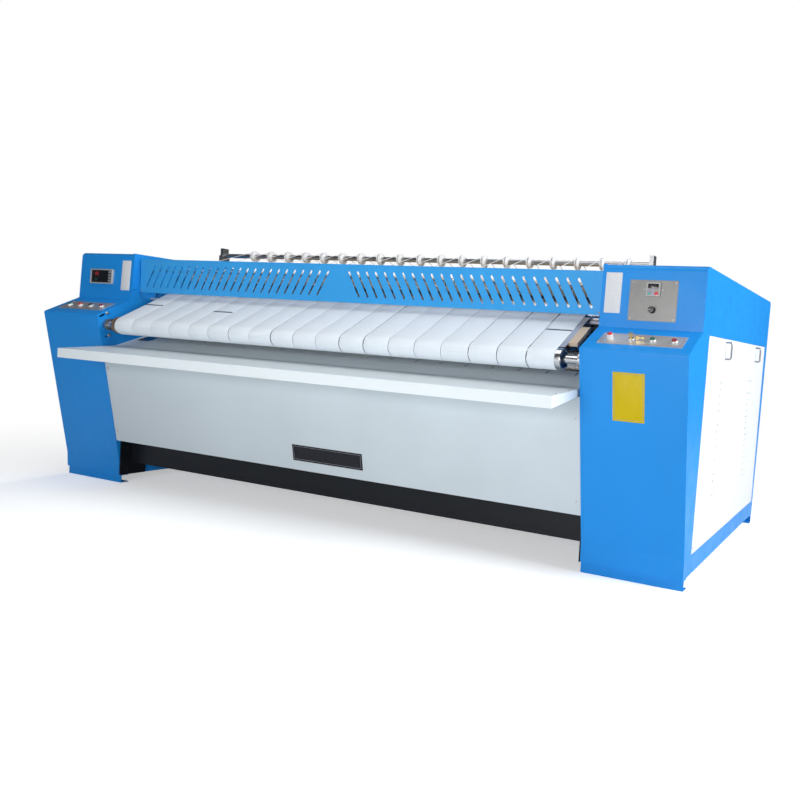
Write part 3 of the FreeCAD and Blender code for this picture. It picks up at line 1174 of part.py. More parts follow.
def sprocket(teeth, pitch_radius, bore, hub):
    """A toothed wheel: teeth between half-round roller seats, and a hub on its inner side."""
    tip = pitch_radius + size.chain_pitch * 0.26
    disc = Part.makeCylinder(tip, size.sprocket_width, vec(0, 0, 0), X_AXIS)
    seats = []
    for k in range(int(teeth)):
        angle = math.tau * k / teeth
        seats.append(Part.makeCylinder(size.chain_pitch * 0.31, size.sprocket_width,
                                       vec(0, (pitch_radius + 1) * math.cos(angle),
                                           (pitch_radius + 1) * math.sin(angle)), X_AXIS))
    disc = disc.cut(Part.makeCompound(seats))
    disc = disc.fuse(Part.makeCylinder(hub, size.sprocket_width * 2, vec(0, 0, 0), X_AXIS))
    return disc.cut(Part.makeCylinder(bore, size.sprocket_width * 2, vec(0, 0, 0), X_AXIS))


keep("drum_sprocket", shape_piece("large_sprocket", sprocket(size.drum_teeth, drum_pitch_radius,
                                                             size.journal_radius, size.journal_radius + 25),
                                  FreeCAD.Placement(vec(sprocket_left, size.drum_y, size.drum_z),
                                                    FreeCAD.Rotation())))
pinion = sprocket(size.motor_teeth, motor_pitch_radius, size.output_radius - 1, size.output_radius + 14)
pinion.translate(vec(sprocket_left, 0, 0))
output_depth = 15
output_shaft = Part.makeCylinder(size.output_radius, gearbox_x - sprocket_x + output_depth
                                 + size.sprocket_width * 2, vec(-gearbox_x - output_depth, 0, 0),
                                 X_AXIS)
keep("motor_sprocket", shape_piece("pinion", pinion.fuse(output_shaft).removeSplitter(),
                                   FreeCAD.Placement(vec(0, size.motor_y, size.motor_z),
                                                     FreeCAD.Rotation())))
chain_clear = size.chain_pitch * 0.26 + 0.5
chain_wheels = [(size.drum_y, size.drum_z, drum_pitch_radius + chain_clear, 1),
                (size.motor_y, size.motor_z, motor_pitch_radius + chain_clear, 1)]
chain = belt(chain_wheels, size.chain_depth, size.chain_width * 0.6, -sprocket_x
             - size.chain_width * 0.3)
keep("drive_chain", shape_piece("chain", chain))


def gear_motor():
    """Gearbox with its motor on a shelf bolted to the left side frame."""
    half = size.gearbox_size / 2
    left = -gearbox_x - size.gearbox_width
    gearbox = Part.makeBox(size.gearbox_width, size.gearbox_size, size.gearbox_size,
                           vec(left, -half, -half))
    gearbox = gearbox.makeFillet(12, gearbox.Edges)
    bore = size.output_radius + size.bearing_clearance
    bearing_nose = ring(bore, size.output_radius + 22, 12)
    bearing_nose.rotate(vec(0, 0, 0), Y_AXIS, 90)
    bearing_nose.translate(vec(-gearbox_x - 2, 0, 0))
    gearbox = gearbox.fuse(bearing_nose)
    gearbox = gearbox.cut(Part.makeCylinder(bore, output_depth + 21, vec(-gearbox_x - output_depth - 1,
                                                                         0, 0), X_AXIS))
    middle_x = left + size.gearbox_width / 2
    motor = Part.makeCylinder(size.motor_radius, size.motor_length, vec(middle_x, half - 5, 0), Y_AXIS)
    fins = []
    for k in range(8):
        angle = math.tau * (k + 0.5) / 8
        fin = Part.makeBox(4, size.motor_length - 60, 10, vec(-2, 0, size.motor_radius - 2))
        fin.rotate(vec(0, 0, 0), Y_AXIS, math.degrees(angle))
        fin.translate(vec(middle_x, half + 20, 0))
        fins.append(fin)
    body = gearbox.fuse([motor] + fins)
    shelf_x = -(half_in + size.frame_plate)
    shelf = Part.makeBox(shelf_x - left, size.gearbox_size, size.motor_shelf,
                         vec(left, -half, -half - size.motor_shelf))
    gusset = Part.makePolygon([vec(shelf_x, 0, -half - size.motor_shelf),
                               vec(shelf_x - 60, 0, -half - size.motor_shelf),
                               vec(shelf_x, 0, -half - size.motor_shelf - 60),
                               vec(shelf_x, 0, -half - size.motor_shelf)])
    rib = Part.Face(gusset).extrude(vec(0, 8, 0))
    return Part.makeCompound([body, shelf.fuse(rib)])


keep("gear_motor", shape_piece("drive_unit", gear_motor(), FreeCAD.Placement(
    vec(0, size.motor_y, size.motor_z), FreeCAD.Rotation())))

# ---------------------------------------------------------------- electrics, in the right cabinet
def electrics():
    """Mounting plate on spacers, with the speed inverter and a row of heater contactors."""
    x = half_in + size.frame_plate
    y, z = size.electric_y, size.electric_z
    plate = Part.makeBox(4, size.electric_plate_width, size.electric_plate_height,
                         vec(x + size.electric_stand, y, z))
    pieces = [plate]
    for dy in (20, size.electric_plate_width - 20):
        for dz in (20, size.electric_plate_height - 20):
            pieces.append(Part.makeCylinder(8, size.electric_stand, vec(x, y + dy, z + dz), X_AXIS))
    face_x, inset = x + size.electric_stand + 4, size.switchgear_inset
    inverter_z = z + size.electric_plate_height - size.inverter_height - inset
    inverter = Part.makeBox(size.inverter_depth, size.inverter_width, size.inverter_height,
                            vec(face_x, y + inset, inverter_z))
    pieces.append(inverter)
    for k in range(int(size.contactor_count)):
        pieces.append(Part.makeBox(size.contactor_depth, size.contactor_size - 4, size.contactor_height,
                                   vec(face_x, y + inset + k * (size.contactor_size + 6), z + 3 * inset)))
    return Part.makeCompound(pieces)


keep("electrical_panel", shape_piece("switchgear", electrics()))

# ---------------------------------------------------------------- checks and export
doc.recompute()
for obj in doc.Objects:
    if "Invalid" in obj.State or "Error" in obj.State:
        raise RuntimeError(f"{obj.Name} did not compute: {obj.State}")
for label, obj in nodes.items():
    if obj.Shape.isNull() or not obj.Shape.isValid():
        raise RuntimeError(f"{label} has no valid shape")
    if obj.Shape.Volume <= 0:
        raise RuntimeError(f"{label} has no volume")
print(len(nodes), "sub-parts")
for label, obj in nodes.items():
    obj.Shape.exportStep(f"parts/{label}.step")
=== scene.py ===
"""Dressing for a flatwork ironer: woven belts, cords, controls, trim and procedural finishes.

Every length is in metres, in the frame of the machine: X along the drum, Y to the back, Z up.
"""

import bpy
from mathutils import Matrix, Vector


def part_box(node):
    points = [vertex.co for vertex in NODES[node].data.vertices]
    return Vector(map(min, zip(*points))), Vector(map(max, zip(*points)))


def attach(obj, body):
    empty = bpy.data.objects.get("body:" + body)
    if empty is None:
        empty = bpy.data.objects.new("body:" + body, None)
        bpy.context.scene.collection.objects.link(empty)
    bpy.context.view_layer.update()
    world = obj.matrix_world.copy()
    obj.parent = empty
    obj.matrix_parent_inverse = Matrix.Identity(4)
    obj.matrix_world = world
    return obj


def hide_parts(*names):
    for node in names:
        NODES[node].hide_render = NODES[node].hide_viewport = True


bl_info = {
    "name": "Flatwork Ironer Dressing",
    "version": (1, 0, 0),
    "blender": (4, 5, 0),
    "location": "3D Viewport > Sidebar > Ironer",
    "description": "Belts, cords, controls, trim and finishes for a roller ironer",
    "category": "Object",
}

import math

import bmesh
import bpy
import numpy as np
from mathutils import Matrix

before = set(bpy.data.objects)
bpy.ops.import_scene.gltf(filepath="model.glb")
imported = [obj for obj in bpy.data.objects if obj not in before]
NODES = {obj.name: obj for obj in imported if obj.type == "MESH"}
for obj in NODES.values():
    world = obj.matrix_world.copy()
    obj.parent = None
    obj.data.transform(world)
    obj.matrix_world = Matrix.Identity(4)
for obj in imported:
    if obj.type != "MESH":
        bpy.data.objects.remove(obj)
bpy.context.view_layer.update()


# ------------------------------------------------------------------ settings a user may change
def colour_setting(name, description, default):
    return bpy.props.FloatVectorProperty(name=name, description=description, subtype="COLOR", size=3,
                                         min=0, max=1, default=default)


def length_setting(name, description, default, low, high):
    return bpy.props.FloatProperty(name=name, description=description, subtype="DISTANCE",
                                   unit="LENGTH", default=default, min=low, max=high)


class IronerFinishes(bpy.types.PropertyGroup):
    """Colours of the machine's finishes."""

    blue: colour_setting("Cabinet blue", "Powder coat of the cabinets", (0.012, 0.262, 0.730))
    # the guard wears the cabinets' blue drawn lighter: painted light for the extra light on its upward
    # tilted face
    guard: colour_setting("Guard blue", "Powder coat of the guard, a lighter batch", (0.045, 0.350, 0.780))
    white: colour_setting("Panel white", "Powder coat of the side panels", (0.730, 0.762, 0.800))
    pale: colour_setting("Skirt grey", "Powder coat of the front skirt", (0.560, 0.632, 0.678))
    tray: colour_setting("Tray grey", "Powder coat of the tray and the chute", (0.760, 0.830, 0.865))
    belt: colour_setting("Feed belt", "Woven cotton of the feed belts", (0.800, 0.870, 0.940))
    felt: colour_setting("Ironing belt", "Needled felt of the ironing belts", (0.560, 0.440, 0.290))
    beam: colour_setting("Beam black", "Paint of the cross beams", (0.008, 0.010, 0.014))


class IronerSizes(bpy.types.PropertyGroup):
    """Sizes of the dressed pieces."""

    belt_thickness: length_setting("Belt thickness", "Thickness of a feed or ironing belt",
                                   0.0028, 0.0005, 0.0030)
    belt_wander: length_setting("Belt wander", "How far a belt strays sideways on its rollers",
                                0.0004, 0.0, 0.002)
    weave_pitch: length_setting("Weave pitch", "Distance between two threads of the belt",
                                0.0024, 0.0005, 0.01)
    cord_width: length_setting("Cord width", "Width of a flat braided guide cord",
                               0.0050, 0.0010, 0.0050)
    cord_depth: length_setting("Cord depth", "Thickness of a flat braided guide cord",
                               0.0028, 0.0005, 0.0030)
    screw_radius: length_setting("Screw radius", "Radius of a cover screw's head", 0.0042, 0.001, 0.01)
    lamp_level: bpy.props.FloatProperty(
        name="Lamp level", description="Brightness of the studio lamps together",
        default=1.0, min=0.0, max=10.0)


def finishes():
    return bpy.context.scene.ironer_finishes


def sizes():
    return bpy.context.scene.ironer_sizes


# ------------------------------------------------------------------ places on the machine
BELT_COUNT = 19
BELT_PITCH = 0.1455
BELT_WIDTH = 0.1405
PRESS_BELT_WIDTH = 0.1365
BELT_X = BELT_PITCH * (np.arange(BELT_COUNT) - (BELT_COUNT - 1) / 2)
CORD_X = BELT_X + BELT_PITCH / 2
SEAM_SHIFT = 0.010
NARROW_SEAM = 0.0027
WIDE_SEAMS = {4: 0.0030, 6: 0.0044, 8: 0.0064, 9: 0.0036, 11: 0.0050, 12: 0.0066, 16: 0.0036,
              17: 0.0050, 18: 0.0062}

DRUM = (-0.060, 0.920, 0.400)
FEED_ROLLER = (-0.736, 0.933, 0.047)
TAKE_UP = (-0.640, 0.958, 0.044)
UPPER_FEED = (-0.444, 1.124, 0.030)
RETURN_RADIUS = 0.030
NIP_CIRCLE, RETURN_CIRCLE = 0.434, 0.444
ROLLER_ANGLES = ((127, NIP_CIRCLE), (65, RETURN_CIRCLE), (5, RETURN_CIRCLE), (-55, RETURN_CIRCLE),
                 (-115, RETURN_CIRCLE), (-160, NIP_CIRCLE))
GUIDE_RODS = {"exit": (-0.553, 0.850), "low_front": (-0.500, 0.420), "low_rear": (0.380, 0.420),
              "rear": (0.480, 1.240), "front": (-0.490, 1.272)}
ROD_RADIUS = 0.008
WHEEL = (0.007, 1.440, 0.0285)
CLEAR = 0.0003
CORD_RUN_DEPTH = 0.003
LACED_BELTS = ((0, -0.612), (4, -0.640), (18, -0.620))
RAIL_REACH = 0.06
CREASE_DEGREES = 35

TABLE_OVERHANG = 0.024

CONTROL_PITCH = 0.0935
CONSOLE_X = 1.740
PLATE = 0.002
CAP_GAP = 0.005
TALL_CAP_RISE = 0.013


def ring_place(angle, circle):
    turn = math.radians(angle)
    return DRUM[0] + circle * math.cos(turn), DRUM[1] + circle * math.sin(turn)


class Face:
    """A flat face of the machine: x across, up the slope, and out along its normal."""

    def __init__(self, low, high):
        rise = np.array([0.0, high[0] - low[0], high[1] - low[1]])
        self.length = float(np.linalg.norm(rise))
        self.up = rise / self.length
        self.across = np.array([1.0, 0.0, 0.0])
        self.out = np.cross(self.across, self.up)
        self.low = np.array([0.0, low[0], low[1]])

    def at(self, local, x=0.0, up=0.0, out=0.0):
        """Local points (across, up, out) moved to (x, up, out) on this face."""
        local = np.asarray(local, float)
        origin = self.low + self.across * x + self.up * up + self.out * out
        axes = np.stack([self.across, self.up, self.out])
        return origin + local @ axes


CONSOLE = Face((-0.800, 0.985), (-0.610, 1.085))
PANEL = Face((-0.610, 1.085), (-0.600, 1.360))
FRONT_FOOT, FRONT_TOP = 0.135, 0.985
FRONT = Face((-0.640, FRONT_FOOT), (-0.800, FRONT_TOP))
CONSOLE_PLATE_UP, CONSOLE_PLATE_DEPTH = 0.054, 0.098
CONTROL_UP = CONSOLE_PLATE_UP + CONSOLE_PLATE_DEPTH * 0.48
CONTROL_SHEET = 0.0015
KEYPAD_UP, KNOB_UP = 0.169, 0.082
PANEL_SCREW_UPS = (0.044, 0.199)
CONTROLLER_X, CONTROLLER_UP = -1.768, 0.133
SIDE_PANEL_X = 1.970
CARD_X = 1.719


def front_up(z):
    """Distance up the cabinet's front face of the height z."""
    return (z - FRONT_FOOT) / (FRONT_TOP - FRONT_FOOT) * FRONT.length


# ------------------------------------------------------------------ mesh from arrays
def surface(points, closed_u=False, closed_v=False, uv=None, caps=False, smooth=True):
    """Mesh of one or more grids of points.

    points[k, i, j] is copy k of the surface at parameters (i, j). Each quad joins (i, j), (i + 1, j),
    (i + 1, j + 1) and (i, j + 1); a closed direction joins its last row to its first. uv holds one
    value per grid corner, one row or column more than the points where a direction is closed. caps
    closes the first and last row in i with one many-sided face each.
    """
    points = np.asarray(points, float)
    if points.ndim == 3:
        points = points[None]
    copies, rows, columns = points.shape[:3]
    index = np.arange(rows * columns).reshape(rows, columns)
    if closed_u:
        index = np.concatenate([index, index[:1]], axis=0)
    if closed_v:
        index = np.concatenate([index, index[:, :1]], axis=1)
    quads = np.stack([index[:-1, :-1], index[1:, :-1], index[1:, 1:], index[:-1, 1:]], axis=-1)
    quads = quads.reshape(-1, 4)
    shift = (np.arange(copies) * rows * columns)[:, None, None]
    loops = (quads[None] + shift).reshape(-1)
    starts = np.arange(0, len(loops), 4)
    if caps:
        ends = np.stack([index[0, :columns][::-1], index[-1, :columns]])
        ends = (ends[None] + shift).reshape(-1)
        starts = np.concatenate([starts, len(loops) + np.arange(0, len(ends), columns)])
        loops = np.concatenate([loops, ends])
    mesh = bpy.data.meshes.new("form")
    mesh.vertices.add(copies * rows * columns)
    mesh.vertices.foreach_set("co", points.reshape(-1))
    mesh.loops.add(len(loops))
    mesh.loops.foreach_set("vertex_index", loops.astype(np.int32))
    mesh.polygons.add(len(starts))
    mesh.polygons.foreach_set("loop_start", starts.astype(np.int32))
    mesh.polygons.foreach_set("use_smooth", np.full(len(starts), smooth))
    mesh.update(calc_edges=True)
    if uv is not None:
        uv = np.asarray(uv, float)
        if uv.ndim == 3:
            uv = np.broadcast_to(uv, (copies,) + uv.shape)
        corner = np.stack([uv[:, :-1, :-1], uv[:, 1:, :-1], uv[:, 1:, 1:], uv[:, :-1, 1:]], axis=3)
        flat = np.zeros((len(loops), 2))
        flat[:corner.size // 2] = corner.reshape(-1, 2)
        mesh.uv_layers.new(name="UVMap").data.foreach_set("uv", flat.reshape(-1))
    mesh.validate()
    return mesh


def merged(name, meshes):
    """One mesh out of several, with doubled points joined and normals turned outwards."""
    bm = bmesh.new()
    for mesh in meshes:
        bm.from_mesh(mesh)
        bpy.data.meshes.remove(mesh)
    bmesh.ops.remove_doubles(bm, verts=bm.verts, dist=1e-6)
    bmesh.ops.dissolve_degenerate(bm, edges=bm.edges, dist=1e-7)
    bmesh.ops.recalc_face_normals(bm, faces=bm.faces)
    whole = bpy.data.meshes.new(name)
    bm.to_mesh(whole)
    bm.free()
    return whole


def piece(name, meshes, key, body="frame", replaces=()):
    """Adds a mesh with its finish to the scene, riding on a body of the machine."""
    whole = merged(name, meshes if isinstance(meshes, list) else [meshes])
    whole.materials.append(finish(key))
    whole.set_sharp_from_angle(angle=math.radians(CREASE_DEGREES))
    obj = bpy.data.objects.new(name, whole)
    bpy.context.scene.collection.objects.link(obj)
    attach(obj, body)
    if replaces:
        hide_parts(*replaces)


def lathe(profile, segments=48, wave=None):
    """Turned form: point (r, h) of the profile goes round the local Z axis.

    P(i, j) = (r_j cos t_i, r_j sin t_i, h_j) with t_i = 2 pi i / segments. wave(t, j) scales r for
    knurls and ribs.
    """
    profile = np.asarray(profile, float)
    turn = np.arange(segments) * (math.tau / segments)
    radius = np.broadcast_to(profile[:, 0], (segments, len(profile)))
    if wave is not None:
        radius = radius * wave(turn[:, None], np.arange(len(profile))[None, :])
    height = np.broadcast_to(profile[:, 1], (segments, len(profile)))
    return np.stack([radius * np.cos(turn)[:, None], radius * np.sin(turn)[:, None], height], axis=-1)


def rounded_outline(width, height, corner, steps=6):
    """Outline of a rounded rectangle: four quarter circles, anticlockwise, about the origin."""
    corner = min(corner, width / 2 - 1e-6, height / 2 - 1e-6)
    quarter = np.linspace(0, math.pi / 2, steps)
    centre = np.array([[1, 1], [-1, 1], [-1, -1], [1, -1]]) * [width / 2 - corner, height / 2 - corner]
    turn = quarter[None, :] + (np.arange(4) * math.pi / 2)[:, None]
    points = centre[:, None, :] + corner * np.stack([np.cos(turn), np.sin(turn)], axis=-1)
    return points.reshape(-1, 2)


def slab(width, height, low, high, corner=0.002, edge=0.0006):
    """Rounded plate: the outline at four heights, drawn in by the edge radius at the top.

    Row i of the grid is the outline inset by the i-th inset, at the i-th height.
    """
    insets = np.array([0.0, 0.0, edge * 0.3, edge])
    heights = np.array([low, high - edge, high - edge * 0.3, high])
    rows = [rounded_outline(width - 2 * i, height - 2 * i, max(corner - i, 1e-5)) for i in insets]
    outline = np.stack(rows)
    return np.concatenate([outline, np.broadcast_to(heights[:, None, None], outline.shape[:2] + (1,))],
                          axis=-1)


def frame_ring(width, height, border, low, high, corner, edge=0.001):
    """Rectangular ring: outer wall up, over the rounded rim, and down the inner wall."""
    steps = [(0, low), (0, high - edge), (edge * 0.3, high - edge * 0.3), (edge, high),
             (border - edge, high), (border - edge * 0.3, high - edge * 0.3), (border, high - edge),
             (border, low)]
    rows = [rounded_outline(width - 2 * i, height - 2 * i, max(corner - i, 4e-4)) for i, _ in steps]
    outline = np.stack(rows)
    tall = np.array([h for _, h in steps])
    return np.concatenate([outline, np.broadcast_to(tall[:, None, None], outline.shape[:2] + (1,))],
                          axis=-1)


def raised(face, shape, x, up, out=0.0):
    """A slab stood on a face, with a face over each end."""
    return surface(face.at(shape, x, up, out), closed_v=True, caps=True)


def ringed(face, shape, x, up, out=0.0):
    """A ring stood on a face: its section closes and so does its outline."""
    return surface(face.at(shape, x, up, out), closed_u=True, closed_v=True)


def turned(face, shape, x, up, out=0.0):
    """A lathe form stood on a face."""
    return surface(face.at(shape, x, up, out), closed_u=True)


# ------------------------------------------------------------------ belts: a section along a loop
def loop_path(wheels, shift, depth, arc_step=0.006, run_step=0.05):
    """Closed tangent path round circles (y, z, radius, turn), shifted outwards from the inner face.

    A straight run leaves circle a and meets circle b where both have the same tangent: its heading
    is the centre line's, turned by asin((s_a r_a - s_b r_b) / distance). Returns points (y, z) and
    the outward normals of the belt.
    """
    count = len(wheels)
    radius = [r + (shift if s > 0 else depth - shift) for _, _, r, s in wheels]
    leave, arrive = [None] * count, [None] * count
    for a in range(count):
        b = (a + 1) % count
        here, there = np.array(wheels[a][:2]), np.array(wheels[b][:2])
        run = there - here
        lean = math.asin((wheels[a][3] * radius[a] - wheels[b][3] * radius[b]) / np.linalg.norm(run))
        heading = math.atan2(run[1], run[0]) + lean
        right = np.array([math.sin(heading), -math.cos(heading)])
        leave[a] = here + right * wheels[a][3] * radius[a]
        arrive[b] = there + right * wheels[b][3] * radius[b]
    points, normals = [], []
    for a in range(count):
        centre, turn = np.array(wheels[a][:2]), wheels[a][3]
        start = math.atan2(*(arrive[a] - centre)[::-1])
        sweep = (turn * (math.atan2(*(leave[a] - centre)[::-1]) - start)) % math.tau
        steps = max(6, int(sweep * radius[a] / arc_step))
        angle = start + turn * np.linspace(0, sweep, steps)
        spoke = np.stack([np.cos(angle), np.sin(angle)], axis=-1)
        points.append(centre + spoke * radius[a])
        normals.append(spoke * turn)
        end = arrive[(a + 1) % count]
        run_steps = max(2, int(np.linalg.norm(end - leave[a]) / run_step))
        share = np.linspace(0, 1, run_steps + 1)[1:-1, None]
        points.append(leave[a] + (end - leave[a]) * share)
        normals.append(np.repeat(spoke[-1:] * turn, len(share), axis=0))
    return np.concatenate(points), np.concatenate(normals)


def feed_belt_edges():
    """Left and right edge of every feed belt; a seam's gap is narrow unless it has its own width."""
    seams = BELT_X[1:] - BELT_PITCH / 2 + SEAM_SHIFT
    gaps = np.array([WIDE_SEAMS.get(k, NARROW_SEAM) for k in range(1, BELT_COUNT)])
    left = np.concatenate([[BELT_X[0] - BELT_WIDTH / 2 + SEAM_SHIFT], seams + gaps / 2])
    right = np.concatenate([seams - gaps / 2, [BELT_X[-1] + BELT_WIDTH / 2]])
    return left, right


def flat_section(width, depth, edge, steps=4):
    """Section of a belt: a flat rectangle with rounded long edges, as (across, out) from its middle."""
    return rounded_outline(width, depth, edge, steps)


def belt_mesh(wheels, section, centres, depth, wander, spread=1.0):
    """Sweeps the section along the loop for every belt.

    P(k, i, j) = path_i + normal_i out_j
                 + X (centre_k + spread_k across_j + wander sin(2 pi s_i / L + phase_k)),
    where s is the length along the path and L the whole loop.
    """
    path, normal = loop_path(wheels, depth / 2, depth)
    step = np.linalg.norm(np.roll(path, -1, axis=0) - path, axis=1)
    along = np.concatenate([[0], np.cumsum(step)])
    total = along[-1]
    phase = np.arange(len(centres)) * 2.399963
    stray = wander * np.sin(math.tau * along[None, :-1] / total + phase[:, None])
    centre = np.asarray(centres)[:, None] + stray
    spread = np.broadcast_to(spread, len(centres))
    x = centre[:, :, None] + spread[:, None, None] * section[None, None, :, 0]
    y = path[:, 0][:, None] + normal[:, 0][:, None] * section[None, :, 1]
    z = path[:, 1][:, None] + normal[:, 1][:, None] * section[None, :, 1]
    copies = len(centres)
    points = np.stack([x, np.broadcast_to(y, (copies,) + y.shape),
                       np.broadcast_to(z, (copies,) + z.shape)], axis=-1)
    edge = np.linalg.norm(np.roll(section, -1, axis=0) - section, axis=1)
    across = np.concatenate([[0], np.cumsum(edge)])
    uv = np.stack(np.broadcast_arrays(along[:, None], across[None, :]), axis=-1)
    uv = uv[None] + (np.arange(copies) * 0.37)[:, None, None, None]
    return surface(points, closed_u=True, closed_v=True, uv=uv)


def feed_wheels():
    return [FEED_ROLLER[:2] + (FEED_ROLLER[2] + CLEAR, 1), TAKE_UP[:2] + (TAKE_UP[2] + CLEAR, 1),
            UPPER_FEED[:2] + (UPPER_FEED[2] + CLEAR, 1)]


def ironing_wheels():
    wheels = [ring_place(*r) + (RETURN_RADIUS + CLEAR, 1) for r in reversed(ROLLER_ANGLES)]
    return wheels + [DRUM[:2] + (DRUM[2] + CLEAR, -1)]


def cord_wheels():
    rods = {k: v + (ROD_RADIUS + CLEAR, 1) for k, v in GUIDE_RODS.items()}
    nip, leaving = ring_place(*ROLLER_ANGLES[0]), ring_place(*ROLLER_ANGLES[-1])
    return [rods["exit"], rods["low_front"], rods["low_rear"], rods["rear"],
            WHEEL[:2] + (WHEEL[2] + CLEAR, 1), rods["front"], nip + (RETURN_RADIUS + CLEAR, 1),
            DRUM[:2] + (DRUM[2] + CLEAR, -1), leaving + (RETURN_RADIUS + CLEAR, 1)]


# ------------------------------------------------------------------ materials
class Shader:
    """Builds one procedural material, a node at a time."""

    def __init__(self, name):
        self.material = bpy.data.materials.new(name)
        self.material.use_nodes = True
        self.tree = self.material.node_tree
        self.tree.nodes.clear()
        self.output = self.add("ShaderNodeOutputMaterial")
        self.bsdf = self.add("ShaderNodeBsdfPrincipled")
        self.tree.links.new(self.bsdf.outputs[0], self.output.inputs[0])
        self.coords = self.add("ShaderNodeTexCoord")

    def add(self, kind, inputs=None, **settings):
        node = self.tree.nodes.new(kind)
        for key, value in settings.items():
            setattr(node, key, value)
        for key, value in (inputs or {}).items():
            self.put(node.inputs[key], value)
        return node

    def put(self, socket, value):
        if isinstance(value, bpy.types.NodeSocket):
            self.tree.links.new(value, socket)
        else:
            socket.default_value = value

    def set(self, **values):
        for key, value in values.items():
            self.put(self.bsdf.inputs[key.replace("_", " ")], value)

    def object_space(self, scale=(1, 1, 1), kind="Object", turn=(0, 0, 0)):
        return self.add("ShaderNodeMapping", {"Vector": self.coords.outputs[kind], "Scale": scale,
                                              "Rotation": turn}).outputs[0]

    def uv_space(self, scale=(1, 1, 1), turn=(0, 0, 0)):
        return self.object_space(scale, "UV", turn)

    def noise(self, vector, scale, detail=3.0, roughness=0.5):
        return self.add("ShaderNodeTexNoise", {"Vector": vector, "Scale": scale, "Detail": detail,
                                               "Roughness": roughness}).outputs["Fac"]

    def bands(self, vector, pitch, axis="X", distortion=0.0, detail=0.0):
        """Sine bands with the given distance from crest to crest."""
        return self.add("ShaderNodeTexWave", {"Vector": vector, "Scale": math.tau / 20 / pitch,
                                              "Distortion": distortion, "Detail": detail},
                        wave_type="BANDS", bands_direction=axis).outputs["Fac"]

    def remap(self, value, low, high, to_low, to_high):
        return self.add("ShaderNodeMapRange", {"Value": value, "From Min": low, "From Max": high,
                                               "To Min": to_low, "To Max": to_high}).outputs[0]

    def mix(self, share, first, second):
        node = self.add("ShaderNodeMix", data_type="RGBA")
        self.put(node.inputs[0], share)
        self.put(node.inputs[6], first)
        self.put(node.inputs[7], second)
        return node.outputs[2]

    def maths(self, kind, first, second):
        node = self.add("ShaderNodeMath", operation=kind)
        self.put(node.inputs[0], first)
        self.put(node.inputs[1], second)
        return node.outputs[0]

    def bump(self, height, strength, distance, below=None):
        inputs = {"Height": height, "Strength": strength, "Distance": distance}
        if below is not None:
            inputs["Normal"] = below
        return self.add("ShaderNodeBump", inputs).outputs[0]


def rgba(colour, factor=1.0):
    return tuple(min(1.0, c * factor) for c in colour[:3]) + (1.0,)


def powder_coat(name, colour, gloss=0.40, peel=0.055):
    """Sprayed powder: an orange-peel skin over clouds of slightly deeper colour."""
    s = Shader(name)
    space = s.object_space()
    clouds = s.noise(space, 2.2, 4, 0.55)
    base = s.mix(s.remap(clouds, 0.35, 0.70, 0.0, 1.0), rgba(colour, 0.965), rgba(colour, 1.02))
    s.set(Base_Color=base, Roughness=s.remap(s.noise(space, 14, 4), 0.3, 0.7, gloss - 0.05,
                                             gloss + 0.08))
    s.set(Normal=s.bump(s.noise(space, 520, 2), peel, 0.0006), Specular_IOR_Level=0.22)
    return s.material


def smooth_sheet(name, colour, gloss):
    """Painted sheet that linen has rubbed smooth: a fine skin and hardly any clouds."""
    s = Shader(name)
    clouds = s.noise(s.object_space(), 1.6, 2, 0.4)
    s.set(Base_Color=s.mix(clouds, rgba(colour, 0.985), rgba(colour, 1.01)), Roughness=gloss)
    s.set(Normal=s.bump(s.noise(s.object_space(), 620, 2), 0.012, 0.0004), Specular_IOR_Level=0.25)
    return s.material


def drawn_metal(name, colour, rough=0.30, grain=(3, 260, 260), depth=0.10, metallic=1.0):
    """Metal with a grain: noise stretched along one axis gives fine lines in colour and relief."""
    s = Shader(name)
    lines = s.noise(s.object_space(grain), 2.2, 5, 0.62)
    smudge = s.noise(s.object_space(), 11, 4, 0.6)
    base = s.mix(s.remap(lines, 0.25, 0.75, 0, 1), rgba(colour, 0.84), rgba(colour, 1.10))
    base = s.mix(s.remap(smudge, 0.5, 0.8, 0, 0.35), base, rgba(colour, 0.74))
    s.set(Base_Color=base, Metallic=metallic,
          Roughness=s.remap(smudge, 0.25, 0.75, rough - 0.07, rough + 0.12))
    s.set(Normal=s.bump(lines, depth, 0.0004))
    return s.material


def turned_steel(name, colour, rough=0.16):
    """Ground and polished roller: rings round its axis, faint rub marks, soft stains."""
    s = Shader(name)
    rings = s.noise(s.object_space((900, 1, 1)), 1.0, 3, 0.5)
    rub = s.noise(s.object_space((6, 30, 30)), 3.0, 5, 0.65)
    base = s.mix(s.remap(rub, 0.45, 0.75, 0, 0.5), rgba(colour), rgba(colour, 0.72))
    s.set(Base_Color=base, Metallic=1.0, Roughness=s.remap(rub, 0.3, 0.7, rough - 0.06, rough + 0.14))
    s.set(Normal=s.bump(rings, 0.05, 0.0003))
    return s.material


def mottled_steel(name):
    """Rolled stainless sheet that was wiped dry: wide soft stains and a fine grain along X."""
    s = Shader(name)
    space = s.object_space()
    cloud = s.noise(space, 26, 5, 0.58)
    grain = s.noise(s.object_space((12, 500, 500)), 1.0, 3, 0.6)
    base = s.mix(s.remap(cloud, 0.36, 0.66, 0, 1), (0.160, 0.160, 0.160, 1), (0.215, 0.212, 0.200, 1))
    base = s.mix(s.remap(grain, 0.35, 0.75, 0, 0.35), base, (0.185, 0.183, 0.178, 1))
    s.set(Base_Color=base, Metallic=0.45, Roughness=s.remap(cloud, 0.3, 0.7, 0.34, 0.46))
    s.set(Normal=s.bump(s.noise(s.object_space((4, 300, 300)), 2, 4), 0.08, 0.0003))
    return s.material


